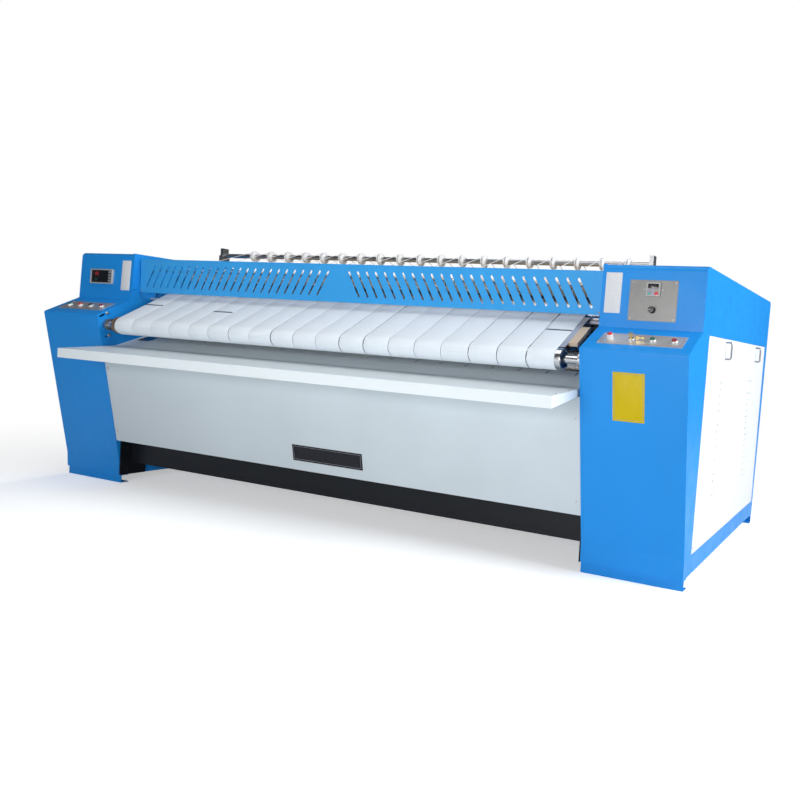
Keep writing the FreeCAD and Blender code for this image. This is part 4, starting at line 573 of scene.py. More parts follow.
def woven_belt(name, colour, stains=0.35):
    """Plain weave on the belt's own UV map (u along, v across, in metres).

    Two sets of sine bands at right angles make the threads; slow noise stretched across the belt
    gives the cross lines that pressing leaves, and broad clouds the wear.
    """
    s = Shader(name)
    flat = s.uv_space()
    pitch = sizes().weave_pitch
    warp = s.bands(flat, pitch, "Y", 0.35, 1.0)
    weft = s.bands(flat, pitch * 1.15, "X", 0.35, 1.0)
    weave = s.maths("MULTIPLY", warp, weft)
    lines = s.noise(s.uv_space((95, 3.0, 1)), 1.0, 4, 0.7)
    lengthwise = s.noise(s.uv_space((1.2, 120, 1)), 1.0, 3, 0.6)
    cloud = s.noise(s.uv_space((2.0, 5.0, 1)), 1.6, 4, 0.6)
    base = s.mix(s.remap(weave, 0, 1, 0, 0.5), rgba(colour, 0.93), rgba(colour, 1.05))
    base = s.mix(s.remap(lines, 0.54, 0.72, 0, 0.36), base, rgba(colour, 0.74))
    base = s.mix(s.remap(lengthwise, 0.56, 0.76, 0, 0.22), base, rgba(colour, 0.78))
    base = s.mix(s.remap(cloud, 0.52, 0.75, 0, stains * 0.5), base, rgba((0.62, 0.62, 0.60)))
    s.set(Base_Color=base, Roughness=s.remap(cloud, 0.3, 0.7, 0.72, 0.86))
    s.set(Normal=s.bump(lines, 0.12, 0.0008, s.bump(weave, 0.35, 0.0005)))
    s.set(Sheen_Weight=0.15, Sheen_Roughness=0.5)
    return s.material


def needled_felt(name, colour):
    """Needle-punched felt: matted fibres in two sizes of noise, darker where the drum has scorched it."""
    s = Shader(name)
    fibre = s.noise(s.uv_space((900, 500, 1)), 1.0, 6, 0.75)
    scorch = s.noise(s.uv_space((3, 9, 1)), 1.4, 4, 0.6)
    base = s.mix(s.remap(fibre, 0.3, 0.7, 0, 1), rgba(colour, 0.80), rgba(colour, 1.15))
    base = s.mix(s.remap(scorch, 0.45, 0.8, 0, 0.55), base, rgba(colour, 0.62))
    s.set(Base_Color=base, Roughness=0.92, Normal=s.bump(fibre, 0.45, 0.0008))
    s.set(Sheen_Weight=0.2)
    return s.material


def twisted_cord(name, colour):
    """Laid cord: slanting bands on its UV map stand for the strands, with noise for loose fibres."""
    s = Shader(name)
    lay = s.bands(s.uv_space((1, 1, 1), (0, 0, 0.62)), 0.0028, "X", 0.4, 1.0)
    fibre = s.noise(s.uv_space((1500, 900, 1)), 1.0, 4, 0.7)
    base = s.mix(s.remap(lay, 0, 1, 0, 1), rgba(colour, 0.62), rgba(colour, 1.08))
    base = s.mix(s.remap(fibre, 0.4, 0.8, 0, 0.4), base, rgba(colour, 0.82))
    s.set(Base_Color=base, Roughness=0.85, Normal=s.bump(lay, 0.6, 0.0006))
    return s.material


def cast_metal(name, colour):
    """Rough casting: two grains of noise in relief, oily darker patches."""
    s = Shader(name)
    space = s.object_space()
    grain = s.noise(space, 420, 4, 0.6)
    oil = s.noise(space, 16, 4, 0.6)
    base = s.mix(s.remap(oil, 0.4, 0.75, 0, 0.7), rgba(colour), rgba(colour, 0.55))
    s.set(Base_Color=base, Metallic=0.55, Roughness=s.remap(oil, 0.3, 0.8, 0.62, 0.36))
    s.set(Normal=s.bump(grain, 0.30, 0.0008))
    return s.material


def moulded(name, colour, rough=0.35, grain=0.10, scale=700.0):
    """Moulded plastic: a fine spark-eroded grain and slow changes of gloss."""
    s = Shader(name)
    space = s.object_space()
    wear = s.noise(space, 60, 4, 0.6)
    base = s.mix(s.remap(wear, 0.35, 0.75, 0, 1), rgba(colour), rgba(colour, 0.86))
    s.set(Base_Color=base, Roughness=s.remap(wear, 0.3, 0.7, rough - 0.05, rough + 0.12))
    s.set(Normal=s.bump(s.noise(space, scale, 2), grain, 0.0002))
    s.set(Coat_Weight=0.25 if rough < 0.3 else 0.0)
    return s.material


def lit_segment(name, colour, strength):
    """A glowing display segment, a little brighter in its middle."""
    s = Shader(name)
    glow = s.noise(s.object_space(), 900, 1)
    s.set(Base_Color=s.mix(glow, rgba(colour, 0.8), rgba(colour)), Roughness=0.4)
    s.set(Emission_Color=rgba(colour), Emission_Strength=strength)
    return s.material


def printed_card(name, colour, second):
    """A printed sheet behind clear film: slight print mottle under a soft gloss."""
    s = Shader(name)
    space = s.object_space()
    mottle = s.noise(space, 90, 5, 0.65)
    base = s.mix(s.remap(mottle, 0.3, 0.75, 0, 1), rgba(colour), rgba(second))
    s.set(Base_Color=base, Roughness=s.remap(s.noise(space, 18, 3), 0.3, 0.7, 0.34, 0.50))
    s.set(Normal=s.bump(mottle, 0.05, 0.0003), Specular_IOR_Level=0.15)
    return s.material


# key: maker, name of the material, then its values; a word stands for a colour of IronerFinishes
FINISHES = {
    "blue_coat": (powder_coat, "blue_powder_coat", "blue", 0.36),
    # the guard's lighter blue is painted light on the cabinets' paint
    "guard_coat_painted_light": (powder_coat, "guard_powder_coat", "guard", 0.36),
    "white_coat": (powder_coat, "white_powder_coat", "white", 0.42),
    "skirt_coat": (powder_coat, "skirt_powder_coat", "pale", 0.40),
    "tray_coat": (smooth_sheet, "tray_powder_coat", "tray", 0.42),
    "beam_coat": (powder_coat, "beam_black_paint", "beam", 0.34, 0.09),
    "machine_grey": (powder_coat, "machine_grey_enamel", (0.17, 0.19, 0.21), 0.34),
    "drawn_steel": (drawn_metal, "drawn_steel", (0.50, 0.51, 0.52)),
    "handle_steel": (drawn_metal, "handle_steel", (0.36, 0.37, 0.39), 0.34, (260, 260, 3)),
    "zinc": (drawn_metal, "zinc_plate", (0.56, 0.56, 0.55), 0.28, (60, 60, 60), 0.05),
    "turned_steel": (turned_steel, "turned_steel", (0.66, 0.67, 0.69)),
    "drum_steel": (turned_steel, "drum_steel", (0.55, 0.55, 0.55), 0.22),
    "mottled_steel": (mottled_steel, "mottled_stainless"),
    "casting": (cast_metal, "machine_casting", (0.11, 0.12, 0.13)),
    "brass": (drawn_metal, "brass", (0.50, 0.38, 0.19), 0.30, (90, 90, 8), 0.05),
    "feed_weave": (woven_belt, "feed_belt_weave", "belt"),
    "felt": (needled_felt, "ironing_felt", "felt"),
    "cord": (twisted_cord, "guide_cord_twist", (0.88, 0.90, 0.93)),
    "sheet_steel": (drawn_metal, "slide_plate_steel", (0.56, 0.57, 0.62), 0.34, (260, 3, 3), 0.05,
                    0.55),
    "beige_rail": (powder_coat, "side_rail_beige", (0.62, 0.50, 0.38), 0.45),
    "bezel_steel": (drawn_metal, "bezel_satin", (0.74, 0.75, 0.76), 0.34, (90, 90, 90), 0.03, 0.6),
    "dim_segment": (lit_segment, "dim_segment", (0.060, 0.040, 0.026), 0.12),
    "key_strip": (moulded, "key_strip", (0.075, 0.080, 0.090), 0.42, 0.2),
    "keypad_grey": (moulded, "keypad_grey", (0.30, 0.30, 0.27), 0.40, 0.2),
    "nylon": (moulded, "wheel_nylon", (0.90, 0.91, 0.93), 0.38),
    "black_plastic": (moulded, "black_plastic", (0.012, 0.012, 0.013), 0.34, 0.2),
    "silver_plastic": (moulded, "silver_plastic", (0.42, 0.43, 0.44), 0.30),
    "grey_plastic": (moulded, "grey_plastic", (0.30, 0.31, 0.33), 0.45, 0.25),
    "white_plastic": (moulded, "white_plastic", (0.78, 0.79, 0.80), 0.26),
    "green_plastic": (moulded, "green_cap", (0.010, 0.120, 0.075), 0.22),
    "red_plastic": (moulded, "red_cap", (0.560, 0.014, 0.018), 0.22),
    "dark_red_plastic": (moulded, "dark_red_cap", (0.300, 0.010, 0.014), 0.22),
    "lavender_key": (moulded, "lavender_key", (0.36, 0.34, 0.50), 0.30),
    "green_key": (moulded, "green_key", (0.07, 0.42, 0.38), 0.30),
    "stop_key": (moulded, "stop_key", (0.66, 0.045, 0.060), 0.30),
    "dark_glass": (moulded, "display_window", (0.004, 0.006, 0.010), 0.16, 0.01),
    "red_segment": (lit_segment, "red_segment", (0.55, 0.02, 0.03), 0.35),
    "green_segment": (lit_segment, "green_segment", (0.02, 0.10, 0.08), 0.35),
    "console_silver": (drawn_metal, "console_silver", (0.60, 0.60, 0.58), 0.36, (3, 220, 220), 0.05,
                       0.75),
    "red_line": (moulded, "red_print", (0.50, 0.05, 0.05), 0.40),
    "yellow_card": (printed_card, "yellow_card", (0.585, 0.445, 0.002), (0.530, 0.390, 0.002)),
    "pale_card": (printed_card, "pale_card", (0.70, 0.72, 0.74), (0.62, 0.64, 0.68)),
    "nameplate_black": (printed_card, "nameplate_black", (0.012, 0.013, 0.018), (0.022, 0.024, 0.032)),
    "plate_line": (printed_card, "plate_line", (0.30, 0.31, 0.32), (0.24, 0.25, 0.26)),
    # dark blue of the roller's sunk end disc: a painted reflection of the blue cabinets in its steel face
    "end_disc_painted_reflection": (powder_coat, "roller_end_blue", (0.012, 0.040, 0.110), 0.26),
    "leather": (moulded, "lagging_edge", (0.16, 0.10, 0.07), 0.55, 0.4, 420),
}
_made = {}


def finish(key):
    """The finished material of that name, made the first time it is asked for."""
    if key not in _made:
        maker, name, *values = FINISHES[key]
        _made[key] = maker(name, *(getattr(finishes(), v) if isinstance(v, str) else v for v in values))
    return _made[key]


NODE_FINISHES = {
    "blue_coat": ("right_cabinet_shell", "left_cabinet_shell", "right_side_frame", "left_side_frame",
                  "foot_rails", "rear_cover"),
    "guard_coat_painted_light": ("guard",),
    "white_coat": ("right_side_panel", "left_side_panel"),
    "skirt_coat": ("front_skirt",),
    "tray_coat": ("tray", "chute"),
    "beam_coat": ("cross_beams",),
    "handle_steel": ("panel_handles",),
    "drawn_steel": ("feed_roller_sliders", "guide_wheel_shaft", "guide_shaft_brackets",
                    "cord_guide_rods", "heater_carrier", "drum_sprocket", "motor_sprocket",
                    "drive_chain"),
    "sheet_steel": ("feed_table",),
    "zinc": ("cover_screws",),
    "turned_steel": ("feed_roller", "take_up_roller", "upper_feed_roller", "nip_roller",
                     "return_roller_1", "return_roller_2", "return_roller_3", "return_roller_4",
                     "exit_roller", "heater_rods"),
    "drum_steel": ("drum_shell",),
    "casting": ("drum_ends", "drum_bearings", "roller_bearings"),
    "brass": ("guard_pins", "key_switch"),
    "nylon": ("guide_wheels",),
    "machine_grey": ("gear_motor",),
    "grey_plastic": ("electrical_panel",),
    "console_silver": ("console_plates",),
    "mottled_steel": ("control_plate",),
    "nameplate_black": ("nameplate",),
}


class IRONER_OT_finishes(bpy.types.Operator):
    """Give every solid of the machine that stays visible its procedural finish"""

    bl_idname = "ironer.finishes"
    bl_label = "Finishes"

    def execute(self, context):
        for key, names in NODE_FINISHES.items():
            for name in names:
                mesh = NODES[name].data
                mesh.materials.clear()
                mesh.materials.append(finish(key))
        # the slide plate's rail is painted: its faces lie right of the plate
        rails = NODES["feed_table"].data
        rails.materials.append(finish("beige_rail"))
        centre = np.empty(len(rails.polygons) * 3)
        rails.polygons.foreach_get("center", centre)
        centre = centre.reshape(-1, 3)
        plate_edge = BELT_PITCH * BELT_COUNT / 2 + TABLE_OVERHANG
        rail = (centre[:, 0] > plate_edge) & (centre[:, 0] < plate_edge + RAIL_REACH)
        rails.polygons.foreach_set("material_index", rail.astype(np.int32))
        return {"FINISHED"}


# ------------------------------------------------------------------ belts and cords
class IRONER_OT_feed_belts(bpy.types.Operator):
    """Weave the endless feed belts round their three rollers"""

    bl_idname = "ironer.feed_belts"
    bl_label = "Feed belts"

    def execute(self, context):
        depth = sizes().belt_thickness
        section = flat_section(BELT_WIDTH, depth, 0.0012)
        left, right = feed_belt_edges()
        mesh = belt_mesh(feed_wheels(), section, (left + right) / 2, depth, sizes().belt_wander,
                         (right - left) / BELT_WIDTH)
        piece("feed_belt_set", mesh, "feed_weave", replaces=["feed_belts"])
        return {"FINISHED"}


class IRONER_OT_belt_lacing(bpy.types.Operator):
    """Close three feed belts with a dark lacing line and its wire hooks"""

    bl_idname = "ironer.belt_lacing"
    bl_label = "Belt lacing"

    def execute(self, context):
        depth = sizes().belt_thickness
        path, normal = loop_path(feed_wheels(), depth, depth)
        upper = normal[:, 1] > 0.7
        left, right = feed_belt_edges()
        strips, hooks = [], []
        for number, y in LACED_BELTS:
            middle, width = (left[number] + right[number]) / 2, right[number] - left[number]
            near = np.argmin(np.abs(path[:, 0] - y) + (~upper) * 9)
            ahead = (near + 1) % len(path)
            share = (y - path[near, 0]) / (path[ahead, 0] - path[near, 0])
            base = path[near] + (path[ahead] - path[near]) * share
            out = normal[near]
            run = np.array([out[1], -out[0]])
            axes = np.stack([[1, 0, 0], [0, run[0], run[1]], [0, out[0], out[1]]])
            origin = np.array([middle, base[0], base[1]])
            strip = slab(width - 0.002, 0.0110, -0.0006, 0.00035, 0.0008, 0.0002)
            strips.append(surface(origin + strip @ axes, closed_v=True, caps=True))
            # a hook is a half hoop of wire across the joint: (x, cos t, sin t) with a square section
            turn = np.linspace(0, math.pi, 7)
            wire = np.array([[-1, -1], [1, -1], [1, 1], [-1, 1]]) * 0.00035
            hoop = np.stack([np.broadcast_to(wire[None, :, 0], (7, 4)),
                             (0.0048 + wire[None, :, 1]) * np.cos(turn)[:, None],
                             (0.0010 + wire[None, :, 1]) * np.sin(turn)[:, None]], axis=-1)
            step = np.linspace(-width / 2 + 0.004, width / 2 - 0.004, 30)
            many = hoop[None] + np.stack([step, step * 0, step * 0], axis=-1)[:, None, None, :]
            hooks.append(surface(origin + many @ axes, closed_v=True, caps=True))
        piece("belt_lacing_lines", strips, "black_plastic")
        piece("belt_lacing_hooks", hooks, "drawn_steel")
        return {"FINISHED"}


class IRONER_OT_ironing_belts(bpy.types.Operator):
    """Lay the felt ironing belts round the drum and back over their rollers"""

    bl_idname = "ironer.ironing_belts"
    bl_label = "Ironing belts"

    def execute(self, context):
        depth = sizes().belt_thickness
        section = flat_section(PRESS_BELT_WIDTH, depth, 0.0013)
        mesh = belt_mesh(ironing_wheels(), section, BELT_X, depth, sizes().belt_wander)
        piece("ironing_belt_set", mesh, "felt", replaces=["ironing_belts"])
        return {"FINISHED"}


class IRONER_OT_guide_cords(bpy.types.Operator):
    """Run the laid guide cords over their wheels and rods, round the drum and back"""

    bl_idname = "ironer.guide_cords"
    bl_label = "Guide cords"

    def execute(self, context):
        section = rounded_outline(sizes().cord_width, sizes().cord_depth, sizes().cord_depth * 0.42, 3)
        mesh = belt_mesh(cord_wheels(), section, CORD_X, CORD_RUN_DEPTH, 0.0)
        piece("guide_cord_set", mesh, "cord", replaces=["guide_cords"])
        return {"FINISHED"}


class IRONER_OT_roller_ends(bpy.types.Operator):
    """Dress the feed roller's ends with a polished rim and a sunk disc whose dark blue is a painted
    reflection of the blue cabinets
    """

    bl_idname = "ironer.roller_ends"
    bl_label = "Roller ends"

    def execute(self, context):
        end = BELT_PITCH * BELT_COUNT / 2 + 0.021
        rim = np.array([[0.0360, 0.0000], [0.0360, 0.0016], [0.0368, 0.0024], [0.0450, 0.0026],
                        [0.0464, 0.0020], [0.0469, 0.0008], [0.0469, 0.0000]])
        disc = np.array([[0.0200, 0.0], [0.0200, 0.0006], [0.0260, 0.0004], [0.0359, 0.0009],
                         [0.0359, 0.0]])
        lag = np.array([[0.0471, 0.0], [0.0476, 0.0002], [0.0480, 0.0012], [0.0480, 0.0188],
                        [0.0476, 0.0198], [0.0471, 0.0200]])
        rims, discs, lags = [], [], []
        for side in (-1, 1):
            # the local axis runs outwards along X
            axes = np.array([[0, 0, 1], [0, side, 0], [side, 0, 0]])
            centre = np.array([side * end, FEED_ROLLER[0], FEED_ROLLER[1]])
            inner = np.array([side * (end - 0.0205), FEED_ROLLER[0], FEED_ROLLER[1]])
            rims.append(surface(centre + lathe(rim, 72) @ axes, closed_u=True, closed_v=True))
            discs.append(surface(centre + lathe(disc, 72) @ axes, closed_u=True, closed_v=True))
            if side < 0:
                lags.append(surface(inner + lathe(lag, 72) @ axes, closed_u=True, closed_v=True))
        piece("feed_roller_rims", rims, "turned_steel", "feed_roller")
        # the discs' dark blue is a painted reflection of the blue cabinets
        piece("feed_roller_discs", discs, "end_disc_painted_reflection", "feed_roller")
        piece("feed_roller_lagging", lags, "leather", "feed_roller")
        return {"FINISHED"}


# ------------------------------------------------------------------ controls
CONTROLS = (
    # name, console side, place in the row, cap finish, record slot, tall collar
    ("left_green_button", -1, 0, "green_plastic", "green_plastic", False),
    ("left_red_button", -1, 1, "red_plastic", "red_plastic", False),
    ("left_black_button", -1, 2, "black_plastic", "black_plastic", False),
    ("left_stop_button", -1, 3, "dark_red_plastic", "red_plastic", False),
    ("right_collar_button", 1, 0, "red_plastic", "red_plastic", True),
    ("right_green_button", 1, 2, "green_plastic", "green_plastic", False),
    ("right_red_button", 1, 3, "dark_red_plastic", "red_plastic", False),
)


def control_x(side, number):
    return side * CONSOLE_X + (number - 1.5) * CONTROL_PITCH


class IRONER_OT_push_buttons(bpy.types.Operator):
    """Turn the domed caps of the push buttons"""

    bl_idname = "ironer.push_buttons"
    bl_label = "Push buttons"

    def execute(self, context):
        for name, side, number, colour, slot, tall in CONTROLS:
            rest = TALL_CAP_RISE if tall else 0.0
            # skirt, rounded shoulder, then a dome h = top - drop (r / R)^2
            radius = np.linspace(0.0098, 0.0, 7)
            dome = np.stack([radius, 0.0090 - 0.0012 * (radius / 0.0098) ** 2], axis=-1)
            shoulder = np.array([[0.0, 0.0], [0.0111, 0.0], [0.0111, 0.0066], [0.0108, 0.0073]])
            profile = np.concatenate([shoulder, dome])
            mesh = turned(CONSOLE, lathe(profile, 40), control_x(side, number), CONTROL_UP,
                          PLATE + CAP_GAP + rest)
            piece(name + "_cap", mesh, colour, name, [name])
        return {"FINISHED"}


class IRONER_OT_bezels(bpy.types.Operator):
    """Turn the knurled bezel rings and the tall collar"""

    bl_idname = "ironer.bezels"
    bl_label = "Bezels"

    def execute(self, context):
        low = np.array([[0.0115, 0.0], [0.0150, 0.0], [0.0150, 0.0014], [0.0146, 0.0018],
                        [0.0146, 0.0052], [0.0143, 0.0066], [0.0134, 0.0076], [0.0122, 0.0080],
                        [0.0116, 0.0076], [0.0115, 0.0068]])
        tall = np.array([[0.0115, 0.0], [0.0145, 0.0], [0.0145, 0.0024], [0.0136, 0.0034],
                         [0.0136, 0.0172], [0.0143, 0.0186], [0.0143, 0.0198], [0.0138, 0.0208],
                         [0.0126, 0.0210], [0.0116, 0.0206], [0.0115, 0.0194]])

        def knurl(turn, j):
            grip = ((j == 3) | (j == 4)).astype(float)
            return 1.0 + grip * 0.010 * np.cos(36 * turn)

        rings, collars = [], []
        for side in (-1, 1):
            for number in range(4):
                x = control_x(side, number)
                if side > 0 and number == 0:
                    collars.append(ringed(CONSOLE, lathe(tall, 64), x, CONTROL_UP, PLATE))
                else:
                    rings.append(ringed(CONSOLE, lathe(low, 144, knurl), x, CONTROL_UP, PLATE))
        piece("bezel_rings", rings, "bezel_steel", replaces=["button_bezels"])
        piece("tall_collar", collars, "white_plastic")
        return {"FINISHED"}


class IRONER_OT_console_trim(bpy.types.Operator):
    """Print the red border line on each console plate and fix the plate with rivets"""

    bl_idname = "ironer.console_trim"
    bl_label = "Console trim"

    def execute(self, context):
        lines, rivets = [], []
        middle = CONSOLE_PLATE_UP + CONSOLE_PLATE_DEPTH / 2
        rivet = np.array([[0.0, 0.0], [0.0024, 0.0], [0.0023, 0.0006], [0.0015, 0.0011], [0.0, 0.0013]])
        for side in (-1, 1):
            x = side * CONSOLE_X
            ring = frame_ring(0.352, 0.078, 0.0016, -0.0004, 0.00012, 0.004, 0.0001)
            lines.append(ringed(CONSOLE, ring, x, middle, PLATE))
            for dx in (-0.180, 0.180):
                for du in (-0.043, 0.043):
                    rivets.append(turned(CONSOLE, lathe(rivet, 20), x + dx, middle + du, PLATE))
        piece("console_lines", lines, "red_line")
        piece("console_rivets", rivets, "zinc")
        return {"FINISHED"}


SEGMENTS = {"0": "abcdef", "1": "bc", "5": "afgcd", "6": "afgedc", "8": "abcdefg"}
BARS = {"a": (0, 1, 0), "b": (0.5, 0.5, 1), "c": (0.5, -0.5, 1), "d": (0, -1, 0), "e": (-0.5, -0.5, 1),
        "f": (-0.5, 0.5, 1), "g": (0, 0, 0)}


def digits(face, text, height, x, up, out, gap=1.45):
    """Seven-segment figures: each lit bar is a hexagon h long and h / 5 wide, on a slant of 6 degrees."""
    bar = np.array([[-0.42, 0], [-0.32, 0.10], [0.32, 0.10], [0.42, 0], [0.32, -0.10], [-0.32, -0.10]])
    half = height / 2
    shapes = []
    pen = -(len(text) - 1) * half * gap / 2
    for character in text:
        for name in SEGMENTS[character]:
            bx, by, upright = BARS[name]
            flat = bar[:, ::-1] if upright else bar
            flat = flat * half + [bx * half, by * half]
            flat[:, 0] += flat[:, 1] * 0.10
            shapes.append(flat + [pen, 0])
        pen += half * gap
    meshes = []
    for shape in shapes:
        rows = np.stack([np.column_stack([shape, np.full(len(shape), h)]) for h in (-0.0001, 0.0001)])
        meshes.append(surface(face.at(rows, x, up, out), closed_v=True, caps=True, smooth=False))
    return meshes


class IRONER_OT_keypad(bpy.types.Operator):
    """Build the speed keypad: case, display window, figures and five keys"""

    bl_idname = "ironer.keypad"
    bl_label = "Keypad"

    def execute(self, context):
        x, up, out = CONSOLE_X, KEYPAD_UP, CONTROL_SHEET
        case = slab(0.063, 0.060, 0.0, 0.0078, 0.004, 0.0016)
        rim = frame_ring(0.0625, 0.0595, 0.0056, 0.0060, 0.0090, 0.004, 0.0008)
        piece("keypad_case", raised(PANEL, case, x, up, out), "keypad_grey",
              replaces=["keypad"])
        piece("keypad_rim", ringed(PANEL, rim, x, up, out), "silver_plastic")
        window = slab(0.0465, 0.0185, 0.0074, 0.0086, 0.0014, 0.0003)
        piece("keypad_window", raised(PANEL, window, x, up + 0.0145, out), "dark_glass")
        piece("keypad_figures", digits(PANEL, "8888", 0.0115, x, up + 0.0145, out + 0.0087),
              "dim_segment")
        keys = {"lavender_key": [(-0.0165, -0.0040), (-0.0005, -0.0040), (-0.0010, -0.0190)],
                "green_key": [(-0.0165, -0.0190)]}
        cap = slab(0.0115, 0.0098, 0.0070, 0.0088, 0.0030, 0.0005)
        for colour, places in keys.items():
            meshes = [raised(PANEL, cap, x + dx, up + du, out) for dx, du in places]
            piece("keypad_keys_" + colour, meshes, colour)
        stop = slab(0.0165, 0.0150, 0.0070, 0.0088, 0.0040, 0.0005)
        piece("keypad_stop_key", raised(PANEL, stop, x + 0.0155, up - 0.0180, out), "stop_key")
        return {"FINISHED"}


class IRONER_OT_temperature_controller(bpy.types.Operator):
    """Build the temperature controller: silver rim, dark window, figures and soft keys"""

    bl_idname = "ironer.temperature_controller"
    bl_label = "Temperature controller"

    def execute(self, context):
        x, up = CONTROLLER_X, CONTROLLER_UP
        rim = frame_ring(0.195, 0.088, 0.0070, 0.0, 0.0120, 0.005, 0.0022)
        piece("controller_rim", ringed(PANEL, rim, x, up), "silver_plastic",
              replaces=["temperature_controller"])
        window = slab(0.146, 0.0745, 0.0, 0.0085, 0.002, 0.0004)
        piece("controller_window", raised(PANEL, window, x - 0.0180, up), "dark_glass")
        strip = slab(0.0340, 0.0745, 0.0, 0.0080, 0.002, 0.0004)
        piece("controller_strip", raised(PANEL, strip, x + 0.0735, up), "key_strip")
        piece("controller_figures", digits(PANEL, "180", 0.019, x - 0.047, up + 0.016, 0.0086),
              "red_segment")
        piece("controller_low_figures", digits(PANEL, "165", 0.013, x - 0.047, up - 0.018, 0.0086),
              "green_segment")
        key = slab(0.0180, 0.0090, 0.0070, 0.0098, 0.0022, 0.0005)
        meshes = [raised(PANEL, key, x + 0.0735, up + step)
                  for step in (-0.0264, -0.0088, 0.0088, 0.0264)]
        piece("controller_keys", meshes, "grey_plastic")
        return {"FINISHED"}


class IRONER_OT_speed_knob(bpy.types.Operator):
    """Turn the ribbed speed knob, its pointer and the printed scale round it"""

    bl_idname = "ironer.speed_knob"
    bl_label = "Speed knob"

    def execute(self, context):
        x, up = CONSOLE_X, KNOB_UP
        base = CONTROL_SHEET + 0.003 + 0.00008
        profile = np.array([[0.0, 0.0], [0.0146, 0.0], [0.0148, 0.0006], [0.0148, 0.0030],
                            [0.0146, 0.0040], [0.0142, 0.0060], [0.0138, 0.0140], [0.0134, 0.0156],
                            [0.0122, 0.0166], [0.0090, 0.0168], [0.0, 0.0165]])

        def ribs(turn, j):
            grip = ((j >= 5) & (j <= 7)).astype(float)
            skirt = ((j >= 1) & (j <= 3)).astype(float)
            nose = np.clip(-np.cos(turn), 0, 1) ** 12
            return 1.0 - grip * 0.045 * (0.5 + 0.5 * np.cos(24 * turn)) ** 2 + skirt * 0.075 * nose

        body = turned(PANEL, lathe(profile, 144, ribs), x, up, base)
        piece("speed_knob_body", body, "black_plastic", "speed_knob", ["speed_knob"])
        line = slab(0.0016, 0.0100, 0.0160, 0.0170, 0.0007, 0.0002)
        mark = raised(PANEL, line[..., [1, 0, 2]] * [-1, 1, 1] + [-0.0070, 0.0, 0.0], x, up, base)
        piece("speed_knob_pointer", mark, "white_plastic", "speed_knob")
        ticks = []
        for number in range(11):
            turn = math.radians(240 - 30 * number)
            spin = np.array([[math.cos(turn), math.sin(turn), 0], [-math.sin(turn), math.cos(turn), 0],
                             [0, 0, 1]])
            long = 0.0050 if number % 5 == 0 else 0.0032
            tick = slab(long, 0.0009, 0.0, 0.00018, 0.0003, 0.0001) + [0.0205 + long / 2, 0, 0]
            ticks.append(raised(PANEL, tick @ spin, x, up, CONTROL_SHEET))
        piece("speed_scale", ticks, "black_plastic")
        return {"FINISHED"}


# ------------------------------------------------------------------ plates and small fasteners
class IRONER_OT_plates(bpy.types.Operator):
    """Fix the blank cards and the line round the blank nameplate"""

    bl_idname = "ironer.plates"
    bl_label = "Blank plates"

    def execute(self, context):
        card = slab(0.140, 0.206, 0.0, 0.0007, 0.002, 0.0002)
        up = front_up(0.695) + 0.103
        yellow = raised(FRONT, card, CARD_X, up)
        piece("yellow_card", yellow, "yellow_card")
        border = frame_ring(0.126, 0.192, 0.0012, 0.0, 0.00085, 0.002, 0.0001)
        piece("yellow_card_line", ringed(FRONT, border, CARD_X, up), "plate_line")
        labels = []
        label = slab(0.075, 0.176, 0.0, 0.0005, 0.002, 0.0002)
        for x, up in ((-1.5635, 0.144), (1.555, 0.150)):
            labels.append(raised(PANEL, label, x, up))
        piece("pale_labels", labels, "pale_card")
        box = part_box("nameplate")
        x = (box[0][0] + box[1][0]) / 2
        up = front_up((box[0][2] + box[1][2]) / 2)
        ring = frame_ring(0.432, 0.070, 0.0014, 0.0, 0.0004, 0.002, 0.0001)
        line = ringed(FRONT, ring, x, up, -0.00398 + 0.00155)
        piece("nameplate_line", line, "plate_line")
        return {"FINISHED"}


def cross_screw(radius, height):
    """Pan head with a cross recess.

    h(r) = height (1 - 0.55 (r / R)^4); inside 0.62 R the points whose smaller coordinate is under
    0.16 R sink by 0.45 of the height.
    """
    rings = np.array([1.0, 1.0, 0.93, 0.80, 0.62, 0.45, 0.26, 0.12, 0.0]) * radius
    rise = np.where(np.arange(len(rings)) == 0, 0.0, height * (1 - 0.55 * (rings / radius) ** 4))
    grid = lathe(np.stack([rings, rise], axis=-1), 24)
    small = np.minimum(np.abs(grid[..., 0]), np.abs(grid[..., 1]))
    inside = np.arange(len(rings))[None, :] >= 5
    grid[..., 2] -= np.where(inside & (small < 0.16 * radius), height * 0.45, 0.0)
    return grid


class IRONER_OT_screws(bpy.types.Operator):
    """Set the pan-head screws of the plates, the panels and the guard"""

    bl_idname = "ironer.screws"
    bl_label = "Screws"

    def execute(self, context):
        radius = sizes().screw_radius
        head = cross_screw(radius, 0.0022)
        small = cross_screw(radius * 0.8, 0.0016)
        meshes = []
        for dx in (-0.098, 0.098):
            for up in PANEL_SCREW_UPS:
                meshes.append(turned(PANEL, small, CONSOLE_X + dx, up, CONTROL_SHEET))
        for dx in (-0.0405, 0.0405):
            meshes.append(turned(PANEL, small, CONSOLE_X + dx, KEYPAD_UP, CONTROL_SHEET))
        piece("panel_screws", meshes, "zinc")
        guard = Face((-0.564, 1.137), (-0.569, 1.333))
        brass = [turned(guard, head, x, 0.010) for x in (-1.478, 1.478)]
        piece("guard_screws", brass, "brass", "guard")
        back = Face((1.000, 1.360), (0.880, 0.048))
        rear = []
        for x in (-1.93, -1.74, -1.55, 1.55, 1.74, 1.93):
            for down in (0.060, 0.640, 1.240):
                rear.append(turned(back, head, x, down))
        piece("rear_screws", rear, "zinc")
        sides = []
        corners = ((-0.477, 1.052), (0.880, 1.052), (0.825, 0.160), (-0.510, 0.160))
        for side in (-1, 1):
            axes = np.array([[0, side, 0], [0, 0, 1], [side, 0, 0]], float)
            for y, z in corners:
                sides.append(surface(np.array([side * SIDE_PANEL_X, y, z]) + head @ axes, closed_u=True))
        piece("side_panel_screws", sides, "zinc")
        return {"FINISHED"}


